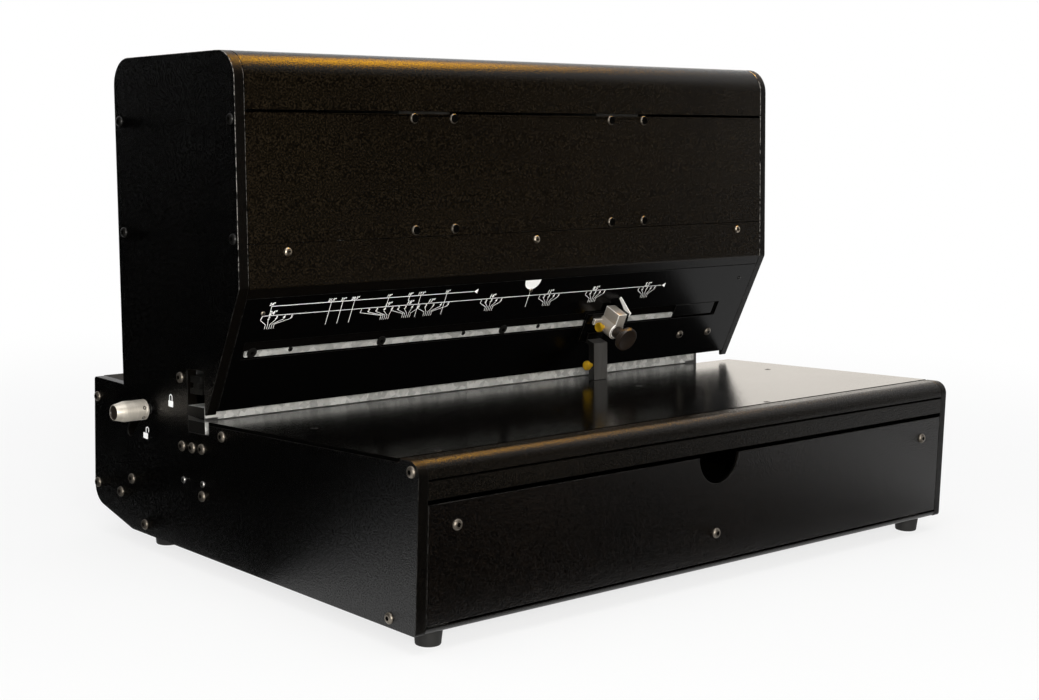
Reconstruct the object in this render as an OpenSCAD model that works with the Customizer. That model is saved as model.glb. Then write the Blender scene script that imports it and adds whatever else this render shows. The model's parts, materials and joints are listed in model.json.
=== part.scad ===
// Desk paper punching machine.
// Two side plates carry a tilted table, a chip drawer, a punching head and a slide-in die set.
// Lengths are in millimetres and angles in degrees.

/* [Overall] */
// Width over the side plates
base_w = 686; // [600:1:780]
// Thickness of each side plate
plate_t = 10; // [8:0.5:12]
// Height of the side plates at the front
front_h = 138; // [132:1:150]
// Height of the side plates behind the head
rear_h = 136; // [130:1:142]
// Depth of the shelf behind the head
rear_shelf_d = 55; // [50:1:80]
// Backward fall of the table and the head
tilt = 3; // [2:0.5:4]
// Height of a foot
foot_h = 15; // [10:1:22]
// Diameter of a foot
foot_d = 24; // [16:1:30]
// How much narrower a foot is at the floor
foot_taper = 3; // [0:0.5:5]
// Distance of the feet from the outer faces
foot_inset = 29; // [27:1:40]
// Distance of the front feet from the front
foot_front = 20; // [17:1:40]
// Distance of the rear feet from the sloped heel
foot_rear = 15; // [13:1:40]

/* [Side plates] */
// Radius of the front top corner
front_r = 12; // [6:1:14]
// Radius of the head's top corners
head_r = 25; // [15:1:35]
// Radius of the small outline corners
edge_r = 3; // [1:0.5:5]
// Length of the sloped heel under the back
heel_d = 70; // [60:1:75]
// Rise of the sloped heel
heel_h = 17; // [12:1:22]
// Radius of the heel's corners
heel_r = 20; // [8:1:24]

/* [Table and front] */
// Depth of the nose bar
nose_d = 24; // [18:1:30]
// Height of the nose bar
nose_h = 15; // [13:1:18]
// Groove under the nose bar
nose_gap = 1.5; // [1:0.25:3]
// Height of the rail under the groove
rail_h = 15; // [12:1:18]
// Thickness of the rail under the groove
rail_t = 12; // [8:1:20]
// Gap over the drawer front
drawer_gap = 3.5; // [2:0.5:5]
// Height of the rolled lip under the drawer front
lip_h = 5; // [4:0.5:7]
// Depth of the table plate
table_d = 270; // [240:1:300]
// Thickness of the table plate
table_t = 3; // [2:0.5:4]
// Gap from the table plate to the die set
table_gap = 6; // [4:0.5:8]
// Depth of the bar under the table's back edge
table_bar_d = 22; // [16:1:28]
// Height of the bar under the table's back edge
table_bar_h = 18; // [12:1:24]
// Distance of that bar from the table's back edge
table_bar_inset = 10; // [6:1:16]
// Thickness of the folded sheets
sheet_t = 2; // [1.5:0.25:2.5]
// Height of the base pan's side flanges
pan_flange_h = 13; // [10:1:16]

/* [Head] */
// Depth of the head
head_d = 200; // [185:1:230]
// Height of the head over the table
head_h = 322; // [316:1:350]
// How far the head stands out in front of the die set
head_overhang = 60; // [52:1:66]
// Height of the bend where the chin slopes back
chin_v = 119.5; // [112:0.5:126]
// Height of the chin's tip over the table
jaw_v = 5.5; // [5:0.25:7]
// Gap from the chin's tip to the die set
jaw_gap = 3; // [2.75:0.25:4]
// Radius of the bend where the chin slopes back
chin_r = 6; // [2:1:10]
// Radius of the chin's tip
jaw_r = 1.2; // [0.5:0.1:1.3]
// Height of the head's top cover
cover_h = 51; // [46:0.5:56]
// Height of the cross plates
cross_h = 113.5; // [108:0.5:118]
// Thickness of the cross plates
cross_t = 14; // [10:1:16]
// Distance of the screw rows from the cross plate's edges
screw_edge = 5.75; // [5:0.25:9]
// Length of the lower cover's fold down the chin
fold_d = 10; // [6:1:14]
// Number of vents in a row of the head's rear cover
vent_count = 14; // [6:1:20]
// Length of a vent
vent_l = 24; // [16:1:30]
// Width of a vent
vent_w = 4; // [2:0.5:6]
// Distance between vents
vent_pitch = 12; // [8:0.5:16]

/* [Scale panel and rail] */
// Thickness of the scale panel
panel_t = 3; // [2:0.5:4]
// Distance of the scale panel's lower edge from the chin's tip
panel_end = 6; // [4:0.5:12]
// Distance of the slot from the chin's bend
slot_s = 55; // [50:0.5:60]
// Height of the slot
slot_h = 17; // [14:0.5:18]
// Distance of the slot's left end from the side plate
slot_left = 11; // [8:1:30]
// Distance of the slot's right end from the side plate
slot_right = 39; // [30:1:60]
// Height of the plated guide rail
guide_rail_h = 10.5; // [8:0.5:10.5]
// Thickness of the plated guide rail
guide_rail_t = 2.5; // [1.5:0.25:2.75]
// Length of the block at the rail's right end
end_block_l = 63; // [40:1:90]
// Gap at the right end of the end block
end_block_gap = 5; // [3:0.5:8]
// Gap under the end block
end_block_drop = 1.5; // [1:0.25:3]
// Thickness of the bar behind the slot
support_t = 6; // [4:0.5:8]
// How far that bar reaches past the slot
support_lap = 6; // [4:0.5:8]

/* [Die set] */
// Depth of the die set
die_w = 27; // [25:0.5:30]
// How much shorter the die set is than the machine
die_short = 51; // [45:1:80]
// Depth of the die bed's top under the table
bed_drop = 12; // [11:0.5:13]
// Depth of the die bed
bed_d = 48; // [44:1:54]
// Height of the die bed
bed_h = 28; // [20:1:30]
// Depth of the chip slot in the bed
chip_slot_d = 15; // [10:0.5:18]
// Height of the paper slot
paper_gap = 4; // [3:0.25:5]
// Depth of the die plate's top under the table
paper_drop = 1; // [0.5:0.25:2]
// Thickness of the plate that guides the pins
guide_plate_t = 9; // [7:0.5:10]
// Stroke of the punch
stroke = 10; // [8:0.5:11]
// Gap from a raised pin to the paper slot
pin_clear = 1; // [0.5:0.25:2]
// Gap from the lowered pin bar to the plate under it
bar_clear = 1; // [0.5:0.25:2]
// Distance between pins
pin_pitch = 12.7; // [10:0.1:16]
// Diameter of a pin
pin_d = 6; // [3:0.5:7]
// Distance of the outer pins from the die set's ends
pin_margin = 25.4; // [20:0.1:50]
// Depth of the pin bar
bar_w = 19; // [16:0.5:20]
// Height of each step of the pin bar
bar_h = 5; // [4:0.5:5]
// Depth of the pin bar's neck
neck_w = 8; // [6:0.5:9]
// Depth of the pin bar's hooked head
hook_w = 17; // [14:0.5:18]
// Height of the pin bar's hooked head
hook_h = 6; // [5:0.5:6.5]
// Gap from the hooked head to the top of the window
window_gap = 5.5; // [5:0.5:8]
// Length of the spacers in the paper slot
spacer_l = 14; // [8:1:20]
// Thickness of the stop at the die set's right end
stop_t = 4; // [3:0.5:8]
// Height of the stop over the table
stop_h = 16; // [10:1:17]
// Height of the rail behind the die set
back_rail_h = 24; // [18:1:26]
// Height of that rail's lower edge over the table
back_rail_v = 22; // [21:0.5:24]
// Thickness of that rail
back_rail_t = 5; // [3:0.5:5.5]
// Gap from the chip chute to the drawer tray
chute_gap = 5; // [3:0.5:12]

/* [Drive] */
// Distance between the bearing blocks' centres
block_span = 253; // [240:1:260]
// Distance between a bearing block's screws
screw_pitch = 47; // [40:1:52]
// Distance of those screws from the block's sides
block_edge = 6.5; // [5:0.5:12]
// Diameter of the cam shaft
shaft_d = 30; // [24:1:34]
// Wall of the shaft's bushes
bush_t = 5; // [3:0.5:7]
// Distance of the guide rods from the shaft
rod_offset = 36; // [34:1:38]
// Diameter of a guide rod
rod_d = 16; // [12:1:18]
// Wall round the guide rods
rod_wall = 10; // [7:0.5:12]
// Free length of a return spring
spring_l = 27; // [24:1:28]
// Wall of a return spring
spring_t = 3; // [2:0.5:4]
// Height of the collar on a guide rod
collar_h = 8; // [6:1:10]
// Distance of the ram's right end from the die set's right end
ram_inset = 4; // [2:0.5:20]
// Top of the ram over the table
ram_top = 110; // [106:1:114]
// Width of the ram's ears
ear_w = 40; // [32:1:48]
// Thickness of the ram's ears
ear_h = 12; // [8:1:14]
// Lower end of the bearing blocks above the ears
ear_gap = 28; // [20:1:30]
// Distance from the shaft to the shoes with the ram up
cam_base = 42; // [36:1:46]
// Width of a cam
cam_w = 24; // [18:1:28]
// Gap from the bearing blocks to the cams
cam_gap = 11.5; // [4:0.5:20]
// Height of a cam shoe's hardened cap
shoe_cap_h = 8; // [5:1:12]
// Width of the gearbox
gearbox_w = 80; // [70:1:90]
// Outer radius of the gearbox's round end
gearbox_r = 50; // [44:1:56]
// Height of the gearbox's square end
gearbox_h = 96; // [80:1:104]
// Gap from the cams to the gearbox
gearbox_gap = 13; // [8:1:20]
// Height of the motor's spigot under the gearbox
spigot_h = 8; // [5:1:12]
// Step of the motor's spigot
spigot_step = 5; // [2:0.5:8]
// Diameter of the motor
motor_d = 66; // [56:1:74]
// Length of the motor
motor_l = 104; // [90:1:116]
// Gap from the ram to the motor
motor_gap = 6; // [5:0.5:12]

/* [Drawer] */
// Thickness of the drawer front
drawer_front_t = 3; // [2:0.5:5]
// Radius of the finger notch
notch_r = 25.4; // [18:0.1:30]
// Distance of the tray's back from the die bed's back
tray_end = 4; // [2:0.5:12]
// Height of the drawer tray
tray_h = 33; // [24:1:34]
// Thickness of the drawer tray
tray_t = 1.5; // [1:0.25:2]
// Distance of the tray's sides from the side plates
tray_inset = 15; // [12:1:24]
// Width of a runner
runner_w = 18; // [12:1:24]
// Height of a runner's side lip
runner_lip = 15; // [8:1:20]
// Distance of the upper drawer screws from the side plates
drawer_screw_x = 29.5; // [22:0.5:40]
// Distance of the upper drawer screws from the drawer front's top
drawer_screw_drop = 19; // [10:1:30]
// Height of the lower drawer screw
drawer_screw_low = 32; // [20:1:40]

/* [Side guide] */
// Distance of the guide's axis from the middle of the machine
guide_x = 119; // [100:1:130]
// Height of the carriage down the chin
carriage_l = 33; // [30:1:36]
// Thickness of the carriage
carriage_t = 5.7; // [4:0.1:6.5]
// How far the carriage reaches left of the axis
carriage_left = 28; // [24:1:32]
// How far the carriage reaches right of the axis
carriage_right = 14; // [12:1:18]
// Distance of the axis below the slot's upper edge
boss_drop = 11; // [10:0.5:12]
// Diameter of the guide's boss
boss_d = 18; // [16:0.5:20]
// Length of the guide's boss
boss_l = 20; // [16:0.5:24]
// Width of the guide's block
block_x = 25; // [18:1:28]
// Length of the guide's block up the chin
block_l = 21; // [14:1:26]
// Height of the guide's block
block_h = 18; // [12:1:20]
// Chamfer on the guide's block
block_chamfer = 7; // [3:0.5:8]
// Length of the pointer above the block
pointer_l = 12; // [6:1:16]
// Thickness of the pointer
pointer_t = 1.5; // [1:0.25:2]
// Diameter of the black knob
knob_d = 22; // [18:1:26]
// Length of the black knob
knob_l = 13.5; // [10:0.5:18]
// Diameter of the black knob's screw
knob_screw_d = 6; // [4:0.5:8]
// Chamfer round the black knob's face
knob_edge = 1; // [0.5:0.25:2]
// Diameter of a brass thumbscrew's head
thumb_d = 10; // [8:0.5:12]
// Length of a brass thumbscrew's head
thumb_l = 7; // [5:0.5:9]
// Diameter of a thumbscrew's shank
thumb_shank = 4; // [3:0.5:5]
// Gap between a thumbscrew's head and its seat
thumb_gap = 1; // [0.5:0.1:1]
// Width of the vertical guide bar
guide_bar_w = 19; // [14:1:22]
// Depth of the vertical guide bar
guide_bar_d = 8; // [7:0.5:9]
// Height of the lower thumbscrew
bar_thumb_v = 15.7; // [10:0.1:24]

/* [Die lock] */
// Distance of the lock's pivot behind the die set
lock_back = 48; // [46:0.5:52]
// Depth of the lock's pivot under the side plates' front height
lock_drop = 78; // [70:1:86]
// Distance from the lock's pivot to its knob
lock_r = 62.4; // [60:0.2:64]
// Angle of the lock's arm when locked
lock_rest = 72.3; // [70:0.1:75]
// Swing of the lock's arm
lock_swing = 40; // [30:1:44]
// Thickness of the lock lever
lever_t = 8; // [5:0.5:10]
// Width of the lock lever
lever_w = 18; // [14:1:20]
// Lower edge of the lever's nose, from the table's level
nose_low = -4; // [-8:0.5:0]
// Upper edge of the lever's nose, from the table's level
nose_high = 8; // [4:0.5:9]
// Thickness of the pivot's head
pivot_head_t = 4; // [2:0.5:6]
// Diameter of the lever's pivot
pivot_d = 10; // [8:0.5:12]
// Diameter of the stud under the lock knob
stud_d = 9; // [7:0.5:11]
// Diameter of the lock knob
lock_knob_d = 19; // [16:0.5:24]
// Diameter of the lock knob's end
lock_knob_end = 14; // [10:0.5:16]
// Length of the lock knob
lock_knob_l = 40; // [30:1:50]
// Length of the lock knob's taper
lock_knob_taper = 12.5; // [8:0.5:16]
// Diameter of the recess in the lock knob's end
lock_recess_d = 9; // [6:0.5:9.5]

/* [Rear fittings] */
// Distance of the power inlet from the right side plate
inlet_x = 75; // [60:1:110]
// Height of the rear fittings over the pan
fitting_z = 70; // [60:1:80]
// Distance between the rear fittings
fitting_pitch = 60; // [50:1:70]
// Width of the power inlet's mouth
inlet_w = 24; // [20:1:26]
// Height of the power inlet's mouth
inlet_h = 18; // [16:1:20]
// Depth of the power inlet's mouth
inlet_d = 16; // [14:1:18]
// Wall of the power inlet
inlet_wall = 3; // [2:0.5:4]
// Rim of the rear fittings on the cover
fitting_rim = 5; // [4:0.5:7]
// Radius of the rocker
rocker_r = 12; // [10:0.5:14]
// Width of the rocker
rocker_w = 16; // [12:1:20]
// Half of the rocker's swing
rocker_a = 10; // [6:1:12]
// Radius of the pedal socket's bore
jack_r = 3.3; // [2.5:0.1:4]
// Length of the pedal socket
jack_l = 18; // [12:1:24]
// Width of the control housing
control_w = 200; // [120:1:240]
// Depth of the control housing
control_d = 50; // [40:1:56]
// Gap from the drawer tray to the control housing
control_gap = 1; // [0.5:0.5:5]
// Height of the control housing
control_h = 68; // [40:1:72]

/* [Fits] */
// Gap between pieces that slide past each other
slide_gap = 0.3; // [0.25:0.05:0.5]
// Gap between a shaft and its bore
running_gap = 0.05; // [0.02:0.01:0.1]
// Seam between covers
seam = 0.5; // [0.3:0.1:0.8]
// Height of screw heads and rims over the face that they sit on
proud = 2.5; // [1.5:0.25:3]
// Diameter of the M6 screws
screw_d = 6; // [5:0.5:8]
// Diameter of a screw head
head_dia = 9.5; // [8:0.5:11]
// Depth of the cross plate screws in the bearing blocks
screw_bite = 12; // [8:1:20]

/* [Hidden] */
$fn = 48;
// Steps in a rounded corner of an outline
arc_steps = 10;
// Overlap that lets a cut pass through a face
past = 1;
// Faces of a hexagon socket
hex = 6;

powder = "#17171a";
gloss = "#0c0c0e";
zinc = "#a8abad";
steel = "#8d9094";
brass = "#c9a13a";
bronze = "#9a6b34";
plastic = "#1b1b1d";
rubber = "#141414";
grey = "#6f7276";

// Places across the machine, from its middle
half_w = base_w / 2;
inner = half_w - plate_t;
covered = inner - seam;

// Places along the table, from the front, and over it
table_back = nose_d + table_d;
die_front = table_back + table_gap;
die_back = die_front + die_w;
die_mid = die_front + die_w / 2;
head_front = die_front - head_overhang;
head_back = head_front + head_d;
jaw_u = die_front - jaw_gap;
base_d = head_back + rear_shelf_d;
cross_top = head_h - cover_h;
cross_v = cross_top - cross_h;
chin_a = atan2(jaw_u - head_front, chin_v - jaw_v);
chin_l = norm([jaw_u - head_front, chin_v - jaw_v]);

// The die set, from its bed upwards
die_low = slide_gap - bed_drop;
die_l = base_w - die_short;
die_right = die_l - half_w;
die_x = die_right - die_l / 2;
pin_span = die_l - 2 * pin_margin;
slot_top = paper_gap - paper_drop;
guide_top = slot_top + guide_plate_t;
bar_v = guide_top + stroke + bar_clear;
neck_v = bar_v + bar_h;
hook_v = neck_v + bar_h;
hook_top = hook_v + hook_h;
window_top = hook_top + window_gap;
pin_tip = slot_top + pin_clear;
pin_count = floor(pin_span / pin_pitch) + 1;

// The drive, round the cam shaft
shaft_v = cross_v + cross_h / 2;
ear_top = ram_top + ear_h;
block_low = ear_top + ear_gap;
block_top = cross_top + screw_edge;
block_w = screw_pitch + 2 * block_edge;
block_back = die_mid + rod_offset + rod_d / 2 + rod_wall;
ear_d = rod_offset + rod_d / 2 + rod_wall / 2;
ram_end = die_right - ram_inset;
shoe_top = shaft_v - cam_base - slide_gap;
rod_top = block_top + spring_l + collar_h;
cam_x = block_span / 2 + block_w / 2 + cam_gap + cam_w / 2;
gearbox_left = cam_x + cam_w / 2 + gearbox_gap;
gearbox_right = gearbox_left + gearbox_w;
lift_rate = stroke / PI;
cam_step = 6;
fall_turn = 120;
rise_end = norm([cam_base + stroke, lift_rate]);

// The base pan's bends at the back
heel_y = base_d - heel_d;
pan_top = heel_h + heel_r;

// The front, from the nose downwards
rail_top = front_h - nose_h - nose_gap;
drawer_top = rail_top - rail_h - drawer_gap;
drawer_low = lip_h + seam;
tray_low = drawer_low + sheet_t;
tray_top = tray_low + tray_h;
tray_back = die_front + bed_d - tray_end;
tray_x = inner - tray_inset;

// The panel, its slot and the rail down the chin
panel_l = chin_l - fold_d - seam - panel_end;
rail_s = slot_s + slot_h - guide_rail_h - seam;
slot_x0 = slot_left - inner;
slot_x1 = inner - slot_right;
end_block_x1 = slot_x1 - end_block_gap;
end_block_x0 = end_block_x1 - end_block_l;
boss_s = slot_s + boss_drop;
carriage_n = slide_gap + carriage_t;
boss_top = carriage_n + boss_l;
knob_n = boss_top + seam;

// The die lock, whose pivot is behind the die set
lock_y = die_back + lock_back;
lock_z = front_h - lock_drop;
knob_y = lock_y + lock_r * cos(lock_rest);
knob_z = lock_z + lock_r * sin(lock_rest);
lever_x = slide_gap - inner;
lock_knob_x = -half_w - seam;
lock_reach = seam + lock_knob_l;

// The vertical guide bar, under the boss and on the carriage
guide_bar_x = guide_x - boss_d - thumb_gap;
foot_top = boss_s + boss_d / 2 + seam;
foot_low = slot_s + carriage_l;
bar_foot = chin_point(foot_low, carriage_n + thumb_shank);
bar_back = bar_foot.x;
bar_front_n = (head_front + foot_top * sin(chin_a) - bar_back + guide_bar_d) / cos(chin_a);

// The rear fittings
switch_x = rocker_w / 2 + inlet_wall;
switch_z = rocker_r + inlet_wall;
switch_d = 2 * rocker_r;
jack_d = 2 * jack_r + 2 * inlet_wall;
pin_t = inlet_wall / 2;

// The origin is under the middle of the whole object, at the floor
mid_x = lock_reach / 2;
mid_y = -base_d / 2;

module place() translate([mid_x, mid_y, foot_h]) children();

// Table frame: y runs back along the table and z stands square on it
module tilted() translate([0, 0, front_h]) rotate([-tilt, 0, 0]) children();

// Chin frame: y runs up the chin from its bend and z stands out of it
module on_chin() tilted() translate([0, head_front, chin_v]) rotate([90 + chin_a, 0, 0]) children();

// A point of the table frame as a point of a side plate's outline, with its corner radius
function tilted_point(u, v, r = 0) =
  [u * cos(tilt) + v * sin(tilt), front_h - u * sin(tilt) + v * cos(tilt), r];

// A point on the chin, at a distance down from its bend and out of its face, in the table frame
function chin_point(s, n, r = 0) =
  [head_front + s * sin(chin_a) - n * cos(chin_a), chin_v - s * cos(chin_a) - n * sin(chin_a), r];

function flat(p) = [p.x, p.y];
function unit(v) = v / norm(v);

// Points on an arc round c, without as many points at each end as skip says
function arc(c, r, start, sweep, skip = 0) =
  [for (i = [skip : arc_steps - skip])
    c + r * [cos(start + sweep * i / arc_steps), sin(start + sweep * i / arc_steps)]];

// The arc that rounds corner p between points a and b
function corner_arc(a, p, b, r) =
  r == 0 ? [p] :
  let (to_a = unit(a - p), to_b = unit(b - p), half = acos(to_a * to_b) / 2,
       c = p + unit(to_a + to_b) * r / sin(half),
       from = p + to_a * r / tan(half) - c, till = p + to_b * r / tan(half) - c,
       start = atan2(from.y, from.x), turn = atan2(till.y, till.x) - start,
       sweep = turn > 180 ? turn - 360 : turn < -180 ? turn + 360 : turn)
  arc(c, r, start, sweep);

// An outline of points [x, y, radius] with its corners rounded
function rounded(points) =
  let (n = len(points))
  [for (i = [0 : n - 1])
    each corner_arc(flat(points[(i + n - 1) % n]), flat(points[i]), flat(points[(i + 1) % n]), points[i].z)];

// A profile in the y-z plane drawn out from x0 to x1
module across(x0, x1) translate([x0, 0, 0]) rotate([90, 0, 90]) linear_extrude(x1 - x0) children();

// A box from its lowest to its highest corner
module box(low, high) translate(low) cube(high - low);

// A rectangle from its lowest to its highest corner
module rect(low, high) translate(low) square(high - low);

// A cylinder along x
module rod_x(d, x0, x1) translate([x0, 0, 0]) rotate([0, 90, 0]) cylinder(d = d, h = x1 - x0);

module mirrored() {
  children();
  mirror([1, 0, 0]) children();
}

plate_outline = rounded([
  [0, 0, edge_r],
  [heel_y, 0, heel_r],
  [base_d, heel_h, heel_r],
  [base_d, rear_h, edge_r],
  [head_back * cos(tilt) + (rear_h - front_h + head_back * sin(tilt)) * tan(tilt), rear_h, 0],
  tilted_point(head_back, head_h, head_r),
  tilted_point(head_front, head_h, head_r),
  tilted_point(head_front, chin_v, chin_r),
  tilted_point(jaw_u, jaw_v, jaw_r),
  tilted_point(die_front - seam, jaw_v),
  tilted_point(die_front - seam, window_top, edge_r),
  tilted_point(die_back + seam, window_top, edge_r),
  tilted_point(die_back + seam, -bed_drop),
  tilted_point(table_back, -bed_drop),
  tilted_point(table_back, -table_t),
  tilted_point(nose_d, -table_t),
  tilted_point(nose_d, 0),
  [0, front_h, front_r]]);

// The path of the lock's stud through the left side plate
module lock_slot() across(-half_w - past, past - inner) translate([lock_y, lock_z]) {
  slot_r = stud_d / 2 + seam;
  open_a = lock_rest - lock_swing;
  polygon(concat(
    arc([0, 0], lock_r + slot_r, open_a, lock_swing),
    arc(lock_r * [cos(lock_rest), sin(lock_rest)], slot_r, lock_rest, 180, 1),
    arc([0, 0], lock_r - slot_r, lock_rest, -lock_swing),
    arc(lock_r * [cos(open_a), sin(open_a)], slot_r, open_a + 180, 180, 1)));
}

module left_side_plate() color(powder) place() difference() {
  across(-half_w, -inner) polygon(plate_outline);
  lock_slot();
}

module right_side_plate() color(powder) place() across(inner, half_w) polygon(plate_outline);

// Bottom sheet: rolled up at the front, sloped up at the back, flanged at the sides
module base_pan() color(powder) place() {
  across(-inner, inner) polygon(rounded([
    [0, lip_h, 0], [0, 0, lip_h - seam], [heel_y, 0, heel_r], [base_d, heel_h, heel_r], [base_d, pan_top, 0],
    [base_d - sheet_t, pan_top, 0], [base_d - sheet_t, heel_h + sheet_t, heel_r - sheet_t],
    [heel_y, sheet_t, heel_r - sheet_t], [sheet_t, sheet_t, sheet_t], [sheet_t, lip_h, 0]]));
  mirrored() box([inner - sheet_t, foot_front, sheet_t], [inner, heel_y - foot_d, sheet_t + pan_flange_h]);
}

module feet() color(rubber) place()
  for (x = [foot_inset - half_w, half_w - foot_inset], y = [foot_front, heel_y - foot_rear])
    translate([x, y, -foot_h]) cylinder(d1 = foot_d - foot_taper, d2 = foot_d, h = foot_h);

module nose_bar() color(powder) place() across(-inner, inner) polygon(rounded([
  [0, front_h - nose_h, seam], [0, front_h, front_r], tilted_point(nose_d - seam, 0),
  tilted_point(nose_d - seam, -nose_h)]));

module front_rail() color(powder) place() box([-inner, 0, rail_top - rail_h], [inner, rail_t, rail_top]);

module table_plate() color(gloss) place() tilted() box([-half_w, nose_d, -table_t], [half_w, table_back, 0]);

module table_rear_bar() color(steel) place() tilted() {
  back = table_back - table_bar_inset;
  box([-inner, back - table_bar_d, -table_t - table_bar_h], [inner, back, -table_t]);
}

// Bar under the die set, with a long slot that lets the chips fall
module die_bed() color(steel) place() tilted() difference() {
  box([-inner, die_front - seam, -bed_drop - bed_h], [inner, die_front + bed_d, -bed_drop]);
  box([die_x - pin_span / 2 - pin_d, die_mid - chip_slot_d / 2, -bed_drop - bed_h - past],
      [die_x + pin_span / 2 + pin_d, die_mid + chip_slot_d / 2, past - bed_drop]);
}

module die_back_rail() color(steel) place() tilted()
  box([-inner, die_back + slide_gap, back_rail_v],
      [inner, die_back + slide_gap + back_rail_t, back_rail_v + back_rail_h]);

module die_stop() color(steel) place() tilted()
  box([die_right + slide_gap, die_front, -bed_drop], [die_right + slide_gap + stop_t, die_back, stop_h]);

// Sheet funnel that leads the chips from the bed to the drawer
module chip_chute() color(zinc) place() tilted() {
  top = -bed_drop - bed_h;
  back = die_front + bed_d - sheet_t;
  low = (tray_top + chute_gap - front_h + back * sin(tilt)) / cos(tilt);
  difference() {
    box([-inner, die_front, low], [inner, back, top]);
    box([sheet_t - inner, die_front + sheet_t, low - past],
        [inner - sheet_t, back - sheet_t, top + past]);
  }
}

module drawer_runners() color(zinc) place() mirrored() {
  side = tray_x + slide_gap;
  top = tray_low - slide_gap;
  box([side - runner_w, rail_t, sheet_t], [side, tray_back, top]);
  box([side, rail_t, sheet_t], [side + sheet_t, tray_back, top + runner_lip]);
}

// Places of the screws that hold the bearing blocks to the front cross plate
module at_block_screws()
  for (side = [-1, 1], dx = [-1, 1], v = [cross_v + screw_edge, cross_top - screw_edge])
    translate([side * block_span / 2 + dx * screw_pitch / 2, head_front, v]) rotate([-90, 0, 0]) children();

module front_cross_plate() color(powder) place() tilted() difference() {
  box([-covered, head_front, cross_v], [covered, head_front + cross_t, cross_top]);
  at_block_screws() translate([0, 0, -past]) cylinder(d = screw_d + 2 * running_gap, h = cross_t + 2 * past);
}

module rear_cross_plate() color(powder) place() tilted()
  box([-covered, head_back - cross_t, cross_v], [covered, head_back, cross_top]);

module front_plate_screws() color(steel) place() tilted() at_block_screws() difference() {
  union() {
    translate([0, 0, -proud]) cylinder(d1 = head_dia - proud, d2 = head_dia, h = proud);
    cylinder(d = screw_d, h = cross_t + screw_bite);
  }
  translate([0, 0, -proud - past]) cylinder(d = screw_d / 2, h = proud + past, $fn = hex);
}

// Sheet folded over the top of the head
module head_top_cover() color(powder) place() tilted() across(-covered, covered) {
  low = cross_top + seam;
  fold_r = head_r - sheet_t;
  front = head_front + sheet_t;
  back = head_back - sheet_t;
  polygon(rounded([
    [head_front, low, 0], [head_front, head_h, head_r], [head_back, head_h, head_r], [head_back, low, 0],
    [back, low, 0], [back, head_h - sheet_t, fold_r], [front, head_h - sheet_t, fold_r], [front, low, 0]]));
}

// Sheet under the front cross plate, folded back along the chin
module lower_cover() color(powder) place() tilted() across(-covered, covered) polygon(rounded([
  [head_front, cross_v - seam, 0], [head_front, chin_v, chin_r],
  chin_point(fold_d, 0), chin_point(fold_d, -sheet_t),
  [head_front + sheet_t, chin_v, chin_r], [head_front + sheet_t, cross_v - seam, 0]]));

// Sheet that closes the back of the head, with two rows of vents
module head_rear_cover() color(powder) place() tilted() {
  low = (rear_h - front_h + head_back * sin(tilt)) / cos(tilt) - sheet_t;
  row_v = (cross_v - low) / 3;
  first_x = -(vent_count - 1) / 2 * vent_pitch;
  difference() {
    box([-covered, head_back - sheet_t, low], [covered, head_back, cross_v - seam]);
    for (row = [1, 2], i = [0 : vent_count - 1])
      translate([first_x + i * vent_pitch, head_back - sheet_t - past, low + row * row_v])
        rotate([-90, 0, 0]) linear_extrude(sheet_t + 2 * past) {
          square([vent_w, vent_l], center = true);
          for (end = [-1, 1]) translate([0, end * vent_l / 2]) circle(d = vent_w);
        }
  }
}

module rear_base_cover() color(powder) place() {
  top = rear_h - sheet_t;
  difference() {
    union() {
      box([-inner, base_d - sheet_t, pan_top + seam], [inner, base_d, rear_h]);
      box([-inner, head_back + seam, top], [inner, base_d, rear_h]);
    }
    at_fitting(0) box([-inlet_w / 2 - inlet_wall - seam, -past - sheet_t, -inlet_h / 2 - inlet_wall - seam],
      [inlet_w / 2 + inlet_wall + seam, past, inlet_h / 2 + inlet_wall + seam]);
    at_fitting(1) box([-switch_x - seam, -past - sheet_t, -switch_z - seam],
      [switch_x + seam, past, switch_z + seam]);
    at_fitting(2) translate([0, -past - sheet_t, 0]) rotate([-90, 0, 0])
      cylinder(d = jack_d + 2 * seam, h = sheet_t + 2 * past);
  }
}

// Rear fittings stand in a row on the rear base cover, from the right
module at_fitting(i) translate([inner - inlet_x - i * fitting_pitch, base_d, fitting_z]) children();

// Mains inlet: a recess with three flat pins
module power_inlet() color(plastic) place() at_fitting(0) {
  outer_x = inlet_w / 2 + inlet_wall;
  outer_z = inlet_h / 2 + inlet_wall;
  difference() {
    union() {
      box([-outer_x, -inlet_d - inlet_wall, -outer_z], [outer_x, 0, outer_z]);
      box([-outer_x - fitting_rim, 0, -outer_z - fitting_rim / 2],
          [outer_x + fitting_rim, proud, outer_z + fitting_rim / 2]);
    }
    box([-inlet_w / 2, -inlet_d, -inlet_h / 2], [inlet_w / 2, proud + past, inlet_h / 2]);
  }
  for (x = [-1, 0, 1])
    translate([x * inlet_w / 4 - pin_t / 2, -inlet_d, x == 0 ? inlet_wall : 0])
      cube([pin_t, inlet_d - inlet_wall, inlet_wall]);
}

// Housing that the rocker turns in
module switch_housing() color(plastic) place() at_fitting(1) difference() {
  union() {
    box([-switch_x, -switch_d, -switch_z], [switch_x, 0, switch_z]);
    box([-switch_x - fitting_rim / 2, 0, -switch_z - fitting_rim / 2],
        [switch_x + fitting_rim / 2, proud, switch_z + fitting_rim / 2]);
  }
  translate([0, -rocker_r / 2, 0]) {
    rod_x(2 * (rocker_r + slide_gap), -rocker_w / 2 - slide_gap, rocker_w / 2 + slide_gap);
    rod_x(pin_t * 2 + 2 * running_gap, -switch_x - past, switch_x + past);
  }
  box([-rocker_w / 2 - slide_gap, -rocker_r / 2, -rocker_r - slide_gap],
      [rocker_w / 2 + slide_gap, proud + past, rocker_r + slide_gap]);
}

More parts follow.
